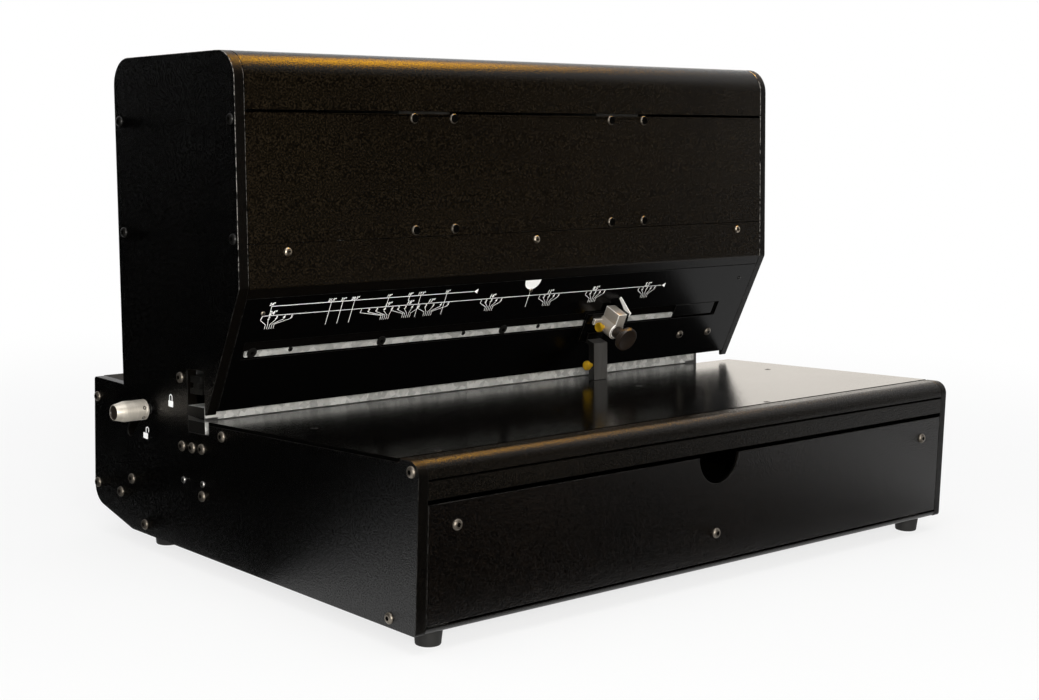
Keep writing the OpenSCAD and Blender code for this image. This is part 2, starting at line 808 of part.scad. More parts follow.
// Rocker that tips about its two stub axles
module power_switch() color(plastic) place() at_fitting(1) translate([0, -rocker_r / 2, 0]) {
  face = rocker_r / 2;
  lean = rocker_r * tan(rocker_a);
  across(-rocker_w / 2, rocker_w / 2) intersection() {
    circle(r = rocker_r);
    polygon([[-rocker_r, -rocker_r], [face - lean, -rocker_r],
      [face + lean, rocker_r], [-rocker_r, rocker_r]]);
  }
  rod_x(pin_t * 2, -switch_x, switch_x);
}

// Socket for the foot pedal's plug
module pedal_socket() color(plastic) place() at_fitting(2) rotate([90, 0, 0]) difference() {
  union() {
    cylinder(d = jack_d, h = jack_l);
    translate([0, 0, -proud]) cylinder(d = jack_d + fitting_rim, h = proud);
  }
  translate([0, 0, -proud - past]) cylinder(r = jack_r, h = jack_l);
}

module control_housing() color(zinc) place() {
  front = tray_back + control_gap;
  box([tray_x - control_w, front, sheet_t], [tray_x, front + control_d, sheet_t + control_h]);
}

// Sloped panel with a long slot for the guide rail
module scale_panel() color(gloss) place() on_chin() {
  top = -fold_d - seam;
  difference() {
    box([-covered, top - panel_l, -panel_t], [covered, top, 0]);
    box([slot_x0, -slot_s - slot_h, -panel_t - past], [slot_x1, -slot_s, past]);
  }
}

module rail_support() color(steel) place() on_chin()
  box([-inner, -slot_s - slot_h - support_lap, -panel_t - support_t],
      [inner, support_lap - slot_s, -panel_t]);

module guide_rail() color(zinc) place() on_chin()
  box([slot_x0 + seam, -rail_s - guide_rail_h, -panel_t],
      [end_block_x0 - seam, -rail_s, guide_rail_t - panel_t]);

module rail_end_block() color(powder) place() on_chin()
  box([end_block_x0, end_block_drop - slot_s - slot_h, -panel_t], [end_block_x1, -slot_s - seam, 0]);

// Blocks behind the front cross plate that carry the cam shaft and guide the ram
module bearing_blocks() color(steel) place() tilted() for (side = [-1, 1]) difference() {
  x = side * block_span / 2;
  box([x - block_w / 2, head_front + cross_t, block_low], [x + block_w / 2, block_back, block_top]);
  translate([0, die_mid, shaft_v]) rod_x(shaft_d + 2 * bush_t, x - block_w, x + block_w);
  for (du = [-rod_offset, rod_offset]) translate([x, die_mid + du, block_low - past])
    cylinder(d = rod_d + 2 * running_gap, h = block_top - block_low + 2 * past);
  at_block_screws() cylinder(d = screw_d + 2 * running_gap, h = cross_t + screw_bite + past);
}

module shaft_bushes() color(bronze) place() tilted() translate([0, die_mid, shaft_v])
  for (side = [-1, 1]) difference() {
    x = side * block_span / 2;
    rod_x(shaft_d + 2 * bush_t, x - block_w / 2, x + block_w / 2);
    rod_x(shaft_d + 2 * running_gap, x - block_w, x + block_w);
  }

// Right-angle gearbox on the rear cross plate, round the end of the cam shaft
module gearbox() color(grey) place() tilted() difference() {
  union() {
    translate([0, die_mid, shaft_v]) rod_x(2 * gearbox_r, gearbox_left, gearbox_right);
    box([gearbox_left, die_mid, shaft_v - gearbox_h / 2],
        [gearbox_right, head_back - cross_t, shaft_v + gearbox_h / 2]);
  }
  translate([0, die_mid, shaft_v])
    rod_x(shaft_d + 2 * running_gap, gearbox_left - past, gearbox_right + past);
}

module drive_motor() color(grey) place() tilted() {
  top = shaft_v - gearbox_h / 2;
  translate([(gearbox_left + gearbox_right) / 2, die_back + motor_gap + motor_d / 2, top - motor_l]) {
    cylinder(d = motor_d, h = motor_l - spigot_h);
    translate([0, 0, motor_l - spigot_h]) cylinder(d = motor_d - 2 * spigot_step, h = spigot_h);
  }
}

// Places of the guide rods, square on the table
module at_rods(v) for (x = [-block_span / 2, block_span / 2], du = [-rod_offset, rod_offset])
  translate([x, die_mid + du, v]) children();

module return_springs() color(steel) place() tilted() at_rods(block_top) difference() {
  cylinder(d = rod_d + 2 * spring_t, h = spring_l);
  translate([0, 0, -past]) cylinder(d = rod_d + 2 * slide_gap, h = spring_l + 2 * past);
}

module cam_shaft() color(steel) place() tilted() translate([0, die_mid, shaft_v])
  rod_x(shaft_d, -cam_x - cam_w, gearbox_right);

// Uniform-motion cam for a flat shoe: it lowers the shoe by an even amount for each degree of its half turn,
// falls back over a third of a turn and then rests
cam_outline = concat(
  [for (t = [0 : cam_step : 180])
    let (a = -90 - t, s = cam_base + stroke * t / 180)
    s * [cos(a), sin(a)] - lift_rate * [-sin(a), cos(a)]],
  [for (t = [cam_step * 2 : cam_step : fall_turn])
    let (a = -270 - t, s = rise_end - (rise_end - cam_base) * t / fall_turn)
    s * [cos(a), sin(a)]],
  [for (t = [cam_step : cam_step : 180 - fall_turn])
    let (a = -270 - fall_turn - t)
    cam_base * [cos(a), sin(a)]]);

module drive_cams() color(steel) place() tilted() translate([0, die_mid, shaft_v])
  for (side = [-1, 1]) difference() {
    x = side * cam_x;
    across(x - cam_w / 2, x + cam_w / 2) polygon(cam_outline);
    rod_x(shaft_d + 2 * running_gap, x - cam_w, x + cam_w);
  }

// Ram: a bar with ears for the guide rods and a hooked groove for the pin bar
module ram() color(steel) place() tilted() {
  low = neck_v + slide_gap;
  difference() {
    box([-ram_end, die_front, low], [ram_end, die_back, ram_top]);
    box([-ram_end - past, die_mid - neck_w / 2 - slide_gap, low - past],
        [ram_end + past, die_mid + neck_w / 2 + slide_gap, hook_v]);
    box([-ram_end - past, die_mid - hook_w / 2 - slide_gap, hook_v - slide_gap],
        [ram_end + past, die_mid + hook_w / 2 + slide_gap, hook_top + slide_gap]);
  }
  for (x = [-block_span / 2, block_span / 2])
    box([x - ear_w / 2, die_mid - ear_d, ram_top], [x + ear_w / 2, die_mid + ear_d, ear_top]);
}

// Posts on the ram with a hardened cap under each cam
module cam_shoes() color(steel) place() tilted() for (x = [-cam_x, cam_x]) {
  box([x - cam_w / 2, die_mid - neck_w, ram_top], [x + cam_w / 2, die_mid + neck_w, shoe_top - shoe_cap_h]);
  box([x - cam_w / 2, die_front, shoe_top - shoe_cap_h], [x + cam_w / 2, die_back, shoe_top]);
}

module guide_rods() color(zinc) place() tilted() at_rods(ear_top) cylinder(d = rod_d, h = rod_top - ear_top);

module rod_collars() color(steel) place() tilted() at_rods(rod_top - collar_h) difference() {
  cylinder(d = rod_d + 2 * rod_wall - spring_t, h = collar_h);
  translate([0, 0, -past]) cylinder(d = rod_d + 2 * running_gap, h = collar_h + 2 * past);
}

// Places of the pins along the die set
module at_pins() for (i = [0 : pin_count - 1])
  translate([die_x + (i - (pin_count - 1) / 2) * pin_pitch, die_mid, 0]) children();

module die_plate() color(zinc) place() tilted() difference() {
  box([-half_w, die_front, die_low], [die_right, die_back, -paper_drop]);
  at_pins() translate([0, 0, die_low - past]) cylinder(d = pin_d + 2 * running_gap, h = bed_drop + past);
}

// Strips that hold the two plates of the die set apart: one at each end
module die_spacers() color(steel) place() tilted() {
  box([-half_w, die_front, -paper_drop], [spacer_l - half_w, die_back, slot_top]);
  box([die_right - spacer_l, die_front, -paper_drop], [die_right, die_back, slot_top]);
}

module die_guide_plate() color(zinc) place() tilted() difference() {
  box([-half_w, die_front, slot_top], [die_right, die_back, guide_top]);
  at_pins() translate([0, 0, slot_top - past])
    cylinder(d = pin_d + 2 * running_gap, h = guide_plate_t + 2 * past);
}

// Bar over the pins with a hooked head that the ram holds
module pin_bar() color(steel) place() tilted() across(-half_w, die_right) translate([die_mid, 0]) {
  rect([-bar_w / 2, bar_v], [bar_w / 2, neck_v]);
  rect([-neck_w / 2, neck_v], [neck_w / 2, hook_v]);
  rect([-hook_w / 2, hook_v], [hook_w / 2, hook_top]);
}

module punch_pins() color(zinc) place() tilted() at_pins() translate([0, 0, pin_tip])
  cylinder(d = pin_d, h = bar_v - pin_tip);

module drawer_front() color(powder) place() difference() {
  box([-covered, 0, drawer_low], [covered, drawer_front_t, drawer_top]);
  translate([0, -past, drawer_top]) rotate([-90, 0, 0]) cylinder(r = notch_r, h = drawer_front_t + 2 * past);
}

// Open tray that catches the chips
module drawer_tray() color(zinc) place() {
  wall = [tray_t, tray_t, tray_t];
  low = [-tray_x, drawer_front_t, tray_low];
  high = [tray_x, tray_back, tray_top];
  difference() {
    box(low, high);
    box(low + wall, high - wall + [0, 0, tray_t + past]);
  }
}

module drawer_screws() color(steel) place()
  for (p = [[drawer_screw_x - inner, drawer_top - drawer_screw_drop],
    [inner - drawer_screw_x, drawer_top - drawer_screw_drop], [0, drawer_screw_low]])
    translate([p.x, -proud, p.y]) rotate([-90, 0, 0]) difference() {
      cylinder(d1 = head_dia - proud, d2 = head_dia, h = proud);
      translate([0, 0, -past]) cylinder(d = screw_d / 2, h = proud, $fn = hex);
    }

// Slider of the side guide, with a tongue over the guide rail
module guide_carriage() color(powder) place() on_chin() {
  left = guide_x - carriage_left;
  right = guide_x + carriage_right;
  box([left, -slot_s - carriage_l, slide_gap], [right, -slot_s, carriage_n]);
  box([left, slide_gap - rail_s, slide_gap - panel_t], [right, -slot_s - slide_gap, slide_gap]);
}

// Boss with a chamfered block beside it
module guide_body() color(steel) place() on_chin() translate([guide_x, -boss_s, carriage_n]) difference() {
  union() {
    cylinder(d = boss_d, h = boss_l);
    translate([-boss_d / 2, 0, 0]) linear_extrude(block_h) polygon(rounded([
      [0, 0, 0], [block_x, 0, 0],
      [block_x, block_l - block_chamfer, seam], [block_x - block_chamfer, block_l, seam],
      [block_chamfer, block_l, seam], [0, block_l - block_chamfer, seam]]));
  }
  translate([0, 0, boss_l / 2]) cylinder(d = knob_screw_d + 2 * running_gap, h = boss_l);
  translate([0, 0, boss_l / 2 - thumb_shank]) rod_x(thumb_shank + 2 * running_gap, -boss_d, 0);
}

// Thin blade that points at the scale
module guide_pointer() color(steel) place() on_chin()
  translate([guide_x - boss_d / 2 + block_x, -boss_s, carriage_n])
    rotate([90, 0, 90]) linear_extrude(pointer_t)
    polygon([[0, 0], [block_l, 0], [block_l + pointer_l, 0], [block_l, block_h / 2], [0, block_h / 2]]);

// Vertical bar that the paper's edge rests against, with its upper end cut to lie on the carriage
module guide_bar() color(grey) place() tilted() difference() {
  across(guide_bar_x, guide_bar_x + guide_bar_w) polygon([
    [bar_back - guide_bar_d, slide_gap], [bar_back, slide_gap], [bar_back, bar_foot.y],
    flat(chin_point(foot_low, carriage_n)), flat(chin_point(foot_top, carriage_n)),
    flat(chin_point(foot_top, bar_front_n))]);
  translate([0, bar_back - guide_bar_d / 2, bar_thumb_v])
    rod_x(thumb_shank + 2 * running_gap, guide_bar_x - past, guide_bar_x + guide_bar_w / 2);
}

module guide_knob() color(plastic) place() on_chin() translate([guide_x, -boss_s, 0]) {
  translate([0, 0, boss_l / 2 + carriage_n + running_gap]) cylinder(d = knob_screw_d, h = boss_l / 2 + seam);
  translate([0, 0, knob_n]) cylinder(d = knob_d, h = knob_l - knob_edge);
  translate([0, 0, knob_n + knob_l - knob_edge])
    cylinder(d1 = knob_d, d2 = knob_d - 2 * knob_edge, h = knob_edge);
}

// Brass screw along x: its head ends at x and its shank runs on to the right
module thumbscrew(x, shank) {
  rod_x(thumb_d, x - thumb_l, x);
  rod_x(thumb_shank, x, x + shank);
}

module boss_thumbscrew() color(brass) place() on_chin()
  translate([0, -boss_s, carriage_n + boss_l / 2 - thumb_shank])
    thumbscrew(guide_x - boss_d / 2 - thumb_gap, boss_d / 4);

module bar_thumbscrew() color(brass) place() tilted()
  translate([0, bar_back - guide_bar_d / 2, bar_thumb_v])
    thumbscrew(guide_bar_x - thumb_gap, guide_bar_w / 3);

// Bell crank inside the left side plate: one arm ends in the knob, the other in a nose behind the die set
module lock_lever() color(steel) place() {
  knob_u = knob_y * cos(tilt) - (knob_z - front_h) * sin(tilt);
  difference() {
    union() {
      across(lever_x, lever_x + lever_t) {
        translate([lock_y, lock_z]) {
          circle(d = pivot_d + lever_w / 2 + edge_r);
          rotate(lock_rest) translate([0, -lever_w / 2]) square([lock_r, lever_w]);
        }
        translate([knob_y, knob_z]) circle(d = lever_w);
        polygon([for (p = [[die_back + slide_gap, nose_low], [knob_u, nose_low], [knob_u, nose_high],
          [die_back + slide_gap, nose_high]]) flat(tilted_point(p.x, p.y))]);
      }
      translate([0, knob_y, knob_z]) rod_x(stud_d, lock_knob_x, lever_x);
    }
    translate([0, lock_y, lock_z]) rod_x(pivot_d + 2 * running_gap, -inner, lever_x + lever_t + past);
  }
}

// Shoulder pin in the left side plate
module lock_pivot() color(zinc) place() translate([0, lock_y, lock_z]) {
  rod_x(pivot_d, -inner, lever_x + lever_t + slide_gap);
  rod_x(pivot_d + lever_w / 2, lever_x + lever_t + slide_gap, lever_x + lever_t + slide_gap + pivot_head_t);
}

// Turned knob with a tapered, recessed end
module lock_knob() color(zinc) place()
  translate([lock_knob_x, knob_y, knob_z]) rotate([0, -90, 0]) difference() {
    union() {
      cylinder(d = lock_knob_d, h = lock_knob_l - lock_knob_taper);
      translate([0, 0, lock_knob_l - lock_knob_taper])
        cylinder(d1 = lock_knob_d, d2 = lock_knob_end, h = lock_knob_taper);
    }
    translate([0, 0, lock_knob_l - proud]) cylinder(d = lock_recess_d, h = proud + past);
  }

left_side_plate();
right_side_plate();
base_pan();
rear_base_cover();
feet();
nose_bar();
front_rail();
table_plate();
table_rear_bar();
die_bed();
die_back_rail();
die_stop();
chip_chute();
drawer_runners();
front_cross_plate();
rear_cross_plate();
front_plate_screws();
head_top_cover();
lower_cover();
head_rear_cover();
scale_panel();
rail_support();
guide_rail();
rail_end_block();
bearing_blocks();
shaft_bushes();
gearbox();
drive_motor();
return_springs();
control_housing();
power_inlet();
switch_housing();
pedal_socket();
lock_pivot();
power_switch();
drawer_front();
drawer_tray();
drawer_screws();
cam_shaft();
drive_cams();
ram();
cam_shoes();
guide_rods();
rod_collars();
die_plate();
die_spacers();
die_guide_plate();
pin_bar();
punch_pins();
guide_carriage();
guide_body();
guide_pointer();
guide_bar();
guide_knob();
boss_thumbscrew();
bar_thumbscrew();
lock_lever();
lock_knob();
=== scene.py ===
"""Desk paper punching machine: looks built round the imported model."""

import json
import math

import bmesh
import bpy
from mathutils import Matrix, Vector

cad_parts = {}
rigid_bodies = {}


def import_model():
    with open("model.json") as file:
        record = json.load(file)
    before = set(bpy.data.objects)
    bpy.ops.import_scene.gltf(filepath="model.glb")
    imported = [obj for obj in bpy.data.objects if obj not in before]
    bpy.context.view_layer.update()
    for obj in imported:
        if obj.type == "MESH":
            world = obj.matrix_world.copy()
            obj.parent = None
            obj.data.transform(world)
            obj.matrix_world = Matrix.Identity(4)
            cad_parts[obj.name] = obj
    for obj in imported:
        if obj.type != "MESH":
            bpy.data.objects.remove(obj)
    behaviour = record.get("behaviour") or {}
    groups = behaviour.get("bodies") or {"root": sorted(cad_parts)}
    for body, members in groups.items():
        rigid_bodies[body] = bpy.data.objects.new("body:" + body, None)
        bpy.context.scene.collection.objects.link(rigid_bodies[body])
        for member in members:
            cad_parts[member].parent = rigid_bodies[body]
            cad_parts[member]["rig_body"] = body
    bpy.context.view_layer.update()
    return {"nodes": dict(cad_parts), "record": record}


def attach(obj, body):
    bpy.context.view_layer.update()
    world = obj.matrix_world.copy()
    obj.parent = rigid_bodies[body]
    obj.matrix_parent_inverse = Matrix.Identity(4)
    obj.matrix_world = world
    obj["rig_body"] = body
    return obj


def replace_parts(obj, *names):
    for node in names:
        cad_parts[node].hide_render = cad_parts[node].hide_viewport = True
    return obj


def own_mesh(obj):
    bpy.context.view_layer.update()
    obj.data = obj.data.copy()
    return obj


# The camera stands to the left of the machine's front, a little above its table.
# Its place, turn and lens come from a fit to the machine's corners and its printed scale.
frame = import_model()
PICTURE_W = 1039
FOCAL_PIXELS = 1800.95
EYE = Vector((-1.16732, -1.28695, 0.43739))
YAW, PITCH, ROLL = (math.radians(a) for a in (42.26, 8.35, 1.54))
ahead = Vector((math.sin(YAW) * math.cos(PITCH), math.cos(YAW) * math.cos(PITCH), -math.sin(PITCH)))
level = Vector((math.cos(YAW), -math.sin(YAW), 0))
above = level.cross(ahead)
right = level * math.cos(ROLL) + above * math.sin(ROLL)
upward = above * math.cos(ROLL) - level * math.sin(ROLL)
camera = bpy.data.objects.new("camera", bpy.data.cameras.new("camera"))
camera.matrix_world = Matrix.Translation(EYE) @ Matrix((right, upward, -ahead)).transposed().to_4x4()
camera.data.lens = camera.data.sensor_width * FOCAL_PIXELS / PICTURE_W
bpy.context.scene.collection.objects.link(camera)
bpy.context.scene.camera = camera


# Side plates: two thick steel plates that carry everything, with a black textured powder coat that is thin and rubbed
# along the cut edges, where pale flakes also paint highlight lines. Button-head screws hold the cross pieces to them.
class Value:
    """An output of a node. Sums of values add Math nodes."""

    def __init__(self, finish, socket):
        self.finish = finish
        self.socket = socket

    def worked(self, operation, first, second):
        return self.finish.node("ShaderNodeMath", {"operation": operation}, {0: first, 1: second})

    def __add__(self, other):
        return self.worked("ADD", self, other)

    def __sub__(self, other):
        return self.worked("SUBTRACT", self, other)

    def __rsub__(self, other):
        return self.worked("SUBTRACT", other, self)

    def __mul__(self, other):
        return self.worked("MULTIPLY", self, other)

    __radd__ = __add__
    __rmul__ = __mul__


class Nodes:
    """A node tree and what it is built with."""

    def __init__(self, tree):
        self.tree = tree

    def node(self, kind, settings, inputs, output=0):
        made = self.tree.nodes.new(kind)
        for key, value in settings.items():
            setattr(made, key, value)
        self.feed(made, inputs)
        return Value(self, made.outputs[output])

    def feed(self, node, inputs):
        for key, value in inputs.items():
            if isinstance(value, Value):
                self.tree.links.new(value.socket, node.inputs[key])
            else:
                node.inputs[key].default_value = value


class Finish(Nodes):
    """A material's nodes and the shader that they feed."""

    def __init__(self, name, **constants):
        self.material = bpy.data.materials.new(name)
        self.material.use_nodes = True
        super().__init__(self.material.node_tree)
        self.shader = self.tree.nodes["Principled BSDF"]
        self.spot = self.node("ShaderNodeTexCoord", {}, {}, "Object")
        self.feed(self.shader, {key.replace("_", " "): value for key, value in constants.items()})

    def noise(self, scale, detail=2.0, stretch=(1, 1, 1)):
        spot = self.node("ShaderNodeMapping", {}, {"Vector": self.spot, "Scale": stretch})
        return self.node("ShaderNodeTexNoise", {}, {"Vector": spot, "Scale": scale, "Detail": detail})

    def mixed(self, share, first, second):
        return self.node("ShaderNodeMix", {"data_type": "RGBA"}, {0: share, 6: (*first, 1), 7: (*second, 1)}, 2)

    def bumped(self, height, strength, depth):
        return self.node("ShaderNodeBump", {}, {"Height": height, "Strength": strength, "Distance": depth})


def powder_coat(name, dark, pale, rough, specular, depth, fine=850):
    """Black powder coat: fine bumps like leather, faint clouds of tone."""
    coat = Finish(name, Specular_IOR_Level=specular)
    grain = coat.noise(1300, 1)
    speck = coat.noise(fine, 3)
    cloud = coat.noise(7, 3)
    coat.feed(coat.shader, {
        "Base Color": coat.mixed(speck * 4 + cloud * 0.6 - 2, dark, pale),
        "Roughness": rough + 0.16 * grain - 0.08 * cloud,
        "Normal": coat.bumped(grain * 0.4 + speck * 0.8, 0.6, depth)})
    return coat


def worn_and_highlit_edge(name, specular):
    """Powder coat rubbed thin along an edge, with pale flakes that also paint highlight lines, most of all high up on
    the head.
    """
    edge = Finish(name, Specular_IOR_Level=specular)
    rub_and_glint = edge.noise(330, 3)
    flakes_and_highlights = edge.node("ShaderNodeMapRange", {}, {"Value": rub_and_glint, "From Min": 0.42, "From Max": 0.62})
    height = edge.node("ShaderNodeSeparateXYZ", {}, {0: edge.spot}, "Z")
    reach = edge.node("ShaderNodeMapRange", {}, {
        "Value": height, "From Min": 0.255, "From Max": 0.275, "To Min": 0.03, "To Max": 0.7})
    # The pale flakes are partly rubbed paint and partly painted highlight, and their share grows with height.
    bare_and_highlit = flakes_and_highlights * reach
    edge.feed(edge.shader, {
        "Base Color": edge.mixed(bare_and_highlit, (0.0012, 0.001, 0.0008), (0.5, 0.48, 0.45)),
        "Metallic": bare_and_highlit,
        "Roughness": 0.45 - 0.15 * rub_and_glint})
    return edge


def scuffed(name, dark, pale, metallic, fine, rough, spread=0.2, stretch=(1, 1, 1)):
    """Bare or plated metal, whose tone and roughness follow its fine scuffs."""
    metal = Finish(name, Metallic=metallic)
    scuff = metal.noise(fine, 3, stretch)
    metal.feed(metal.shader, {
        "Base Color": metal.mixed(scuff, dark, pale),
        "Roughness": rough + spread * scuff})
    return metal


MM = 0.001
MERGE = 1e-6
SOFT_TURN = math.radians(32)
slots = {part["node"]: part["material_slot"] for part in frame["record"]["subparts"]}


def settled(shape, name, body, slot, *finishes):
    """Makes a shape a piece of the machine that moves with a body."""
    mesh = bpy.data.meshes.new(name)
    shape.to_mesh(mesh)
    shape.free()
    for normals in [a for a in mesh.attributes if a.name == "custom_normal"]:
        mesh.attributes.remove(normals)
    mesh.shade_smooth()
    mesh.set_sharp_from_angle(angle=SOFT_TURN)
    for finish in finishes:
        mesh.materials.append(finish.material)
    piece = bpy.data.objects.new(name, mesh)
    bpy.context.scene.collection.objects.link(piece)
    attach(piece, body)
    return piece


ANY = 1e4


def eased(node, width, *finishes, trims=()):
    """A finished copy of a CAD node, with its sharp edges eased and the last finish on them.

    A trim moves the points of one region, which it gives in one of the machine's frames.
    """
    source = frame["nodes"][node]
    shape = bmesh.new()
    shape.from_mesh(source.data)
    bmesh.ops.remove_doubles(shape, verts=shape.verts, dist=MERGE)
    bmesh.ops.dissolve_limit(shape, angle_limit=math.radians(0.5), verts=shape.verts, edges=shape.edges)
    for place, low, high, move in trims:
        for point in shape.verts:
            spot = place.inverted() @ point.co
            if all(a <= b <= c for a, b, c in zip(low, spot, high)):
                point.co = place @ (spot + Vector(move))
    for face in shape.faces:
        face.material_index = 0
    sharp = [e for e in shape.edges if e.is_manifold and e.calc_face_angle() > SOFT_TURN]
    rims = bmesh.ops.bevel(shape, geom=sharp, offset=width * MM, offset_type="OFFSET", segments=2,
                           profile=0.5, affect="EDGES", clamp_overlap=True, material=-1)
    for face in rims["faces"]:
        face.material_index = len(finishes) - 1
    piece = settled(shape, node + "_finished", source["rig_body"], slots[node], *finishes)
    piece.modifiers.new("flat faces", "WEIGHTED_NORMAL").keep_sharp = True
    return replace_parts(piece, node)


def recoated(piece, finish, chosen):
    """Gives another finish to the faces whose outward direction a test picks."""
    piece.data.materials.append(finish.material)
    for face in piece.data.polygons:
        if face.material_index == 0 and chosen(face.normal):
            face.material_index = len(piece.data.materials) - 1


# The machine's own frames, in millimetres: upright from the middle of the base's front, and along the table.
# HEAD_T is the height of the screw heads on the right plate, whose outside is that much further in.
HALF_W, FRONT_H, FOOT_H, BASE_D, SHIFT_X, HEAD_T = 343, 138, 15, 495, 20.25, 1.1
TILT = math.radians(3)
upright = Matrix.Scale(MM, 4) @ Matrix.Translation((SHIFT_X, -BASE_D / 2, FOOT_H))
on_table = upright @ Matrix.Translation((0, 0, FRONT_H)) @ Matrix.Rotation(-TILT, 4, "X")


def facing(spot, out, up):
    """A place on a surface: z stands out of it and y runs up."""
    out, up = Vector(out), Vector(up)
    return Matrix.Translation(spot) @ Matrix((up.cross(out), up, out)).transposed().to_4x4()


def turned(profile, steps=24):
    """A closed shape turned about z from its radii and heights."""
    shape = bmesh.new()
    line = [shape.verts.new((r, 0, z)) for r, z in profile]
    edges = [shape.edges.new(pair) for pair in zip(line, line[1:])]
    bmesh.ops.spin(shape, geom=line + edges, axis=(0, 0, 1), cent=(0, 0, 0), angle=math.tau,
                   steps=steps, use_merge=True)
    bmesh.ops.remove_doubles(shape, verts=shape.verts, dist=1e-4)
    bmesh.ops.recalc_face_normals(shape, faces=shape.faces)
    return shape


def cut_to(shape, radius, reach):
    """Moves the ring of points at a radius out or in to where reach says."""
    for point in shape.verts:
        across = math.hypot(point.co.x, point.co.y)
        if abs(across - radius) < 0.01:
            point.co.xy *= reach(math.atan2(point.co.y, point.co.x)) / radius


def hexagon(size):
    """The edge of a hexagon of that width over its flats."""
    return lambda turn: size / 2 / math.cos(turn % math.radians(60) - math.radians(30))


def hollowed(shape, radius, low):
    """Marks the inside of a screw's socket for the second finish."""
    for face in shape.faces:
        spot = face.calc_center_median()
        if spot.xy.length < radius and spot.z > low:
            face.material_index = 1


def button_screw(radius, height, key, shank, dark=0.45):
    """A button-head screw with a hexagon socket, standing on z = 0, dark within a share of its radius."""
    shape = turned([
        (0, -shank), (0.5 * radius, -shank), (0.5 * radius, 0), (radius, 0), (radius, 0.18 * height),
        (0.95 * radius, 0.42 * height), (0.84 * radius, 0.7 * height), (0.68 * radius, 0.9 * height),
        (0.56 * radius, height), (0.45 * radius, 0.97 * height), (0.45 * radius, 0.35 * height),
        (0, 0.28 * height)])
    hollowed(shape, dark * radius, 0.2 * height)
    cut_to(shape, 0.45 * radius, hexagon(key))
    return shape


def repeated(pattern, places):
    """One shape with a copy of the pattern at each place."""
    master = bpy.data.meshes.new("pattern")
    pattern.to_mesh(master)
    pattern.free()
    row = bmesh.new()
    for place in places:
        seen = len(row.verts)
        row.from_mesh(master)
        row.verts.ensure_lookup_table()
        bmesh.ops.transform(row, matrix=place, verts=row.verts[seen:])
    bpy.data.meshes.remove(master)
    return row


def screws(name, pattern, places, finish, body="root", slot="black_oxide"):
    """A set of like screws with dark sockets."""
    return settled(repeated(pattern, places), name, body, slot, finish, socket_shade)


plate_coat = powder_coat("plate_coat", (0.0001, 0.00009, 0.00008), (0.001, 0.0009, 0.0008),
                         rough=0.22, specular=0.38, depth=0.0009, fine=700)
head_coat = powder_coat("head_coat", (0.0012, 0.0008, 0.0004), (0.011, 0.0078, 0.0042),
                        rough=0.1, specular=0.15, depth=0.0006, fine=700)
edge_and_shade_coat = powder_coat("edge_and_shade_coat", (0.0004, 0.0003, 0.0002), (0.0036, 0.0027, 0.0018),
                        rough=0.28, specular=0.12, depth=0.0006)
plate_edge = worn_and_highlit_edge("plate_edge", 0.2)
sides = [eased("left_side_plate", 0.7, plate_coat, plate_edge),
         eased("right_side_plate", 0.7, plate_coat, plate_edge, trims=[
             (on_table, (-ANY, 314, -13), (ANY, 329, 50), (0, 18, 0)),
             (upright, (HALF_W - 1, -ANY, -ANY), (ANY, ANY, ANY), (-HEAD_T, 0, 0))])]
for side in sides:
    recoated(side, edge_and_shade_coat, lambda out: abs(out.x) < 0.5)

screw_steel = scuffed("screw_steel", (0.07, 0.06, 0.05), (0.26, 0.23, 0.19),
                      metallic=0.85, fine=420, rough=0.3)
# Black oxide for screws. The same finish also paints shade on some faces and parts.
black_oxide_and_shade = scuffed("black_oxide_and_shade", (0.004, 0.004, 0.004), (0.02, 0.019, 0.017),
                      metallic=0.6, fine=420, rough=0.22)
bright_steel = scuffed("bright_steel", (0.32, 0.31, 0.3), (0.62, 0.61, 0.59),
                       metallic=1.0, fine=500, rough=0.26)
socket_shade = Finish("socket_shade", Roughness=0.7, Specular_IOR_Level=0.0)
socket_shade.feed(socket_shade.shader, {
    "Base Color": socket_shade.mixed(socket_shade.noise(300, 2), (0.0008, 0.0007, 0.0006), (0.003, 0.0027, 0.0024))})
OUT_LEFT, OUT_RIGHT, UP = (-1, 0, 0), (1, 0, 0), (0, 0, 1)
RIGHT_FACE = HALF_W - HEAD_T
shared_spots = [(488.5, 117.4), (488.5, 33.5), (336.8, 94.3), (320.1, 95.3), (304.4, 96.6), (272.2, 113.1),
                (401.7, 9), (8.8, 128.8), (33, 8)]
left_spots = [(425, 48.5), (445.5, 32.2), (303.5, 54.2), (340.1, 156.2)]
head_spots = [(431, 265), (247, 263.4), (429, 163.3), (247, 162)]
small_spots = [(334.3, 63.6), (302.7, 65.2)]
left_places = [upright @ facing((-HALF_W, y, z), OUT_LEFT, UP) for y, z in shared_spots + left_spots]
head_places = [on_table @ facing((-HALF_W, u, v), OUT_LEFT, UP) for u, v in head_spots]
right_places = [upright @ facing((RIGHT_FACE, y, z), OUT_RIGHT, UP) for y, z in shared_spots]
right_places += [on_table @ facing((RIGHT_FACE, u, v), OUT_RIGHT, UP) for u, v in head_spots]
small_places = [upright @ facing((-HALF_W, y, z), OUT_LEFT, UP) for y, z in small_spots]
screws("left_plate_screws", button_screw(4.9, 2.4, 3.6, 8), left_places, screw_steel)
# The head screws on the left plate are black, where the same screws on the right plate are steel: painted shade.
screws("left_head_screws", button_screw(4.9, 2.4, 3.6, 8), head_places, black_oxide_and_shade)
screws("right_plate_screws", button_screw(4.9, HEAD_T, 3.6, 6), right_places, screw_steel)
screws("small_plate_screws", button_screw(3, 1.6, 2, 8), small_places, bright_steel, slot="steel")

# Padlock signs: white print on the left plate, one closed and one open,
# that show which way the lock's knob goes.
PRINT_T = 0.06
white_print = Finish("white_print", Roughness=0.55)
rubbed = white_print.noise(300, 3)
white_print.feed(white_print.shader, {
    "Base Color": white_print.mixed(rubbed, (0.86, 0.86, 0.85), (0.97, 0.97, 0.96))})


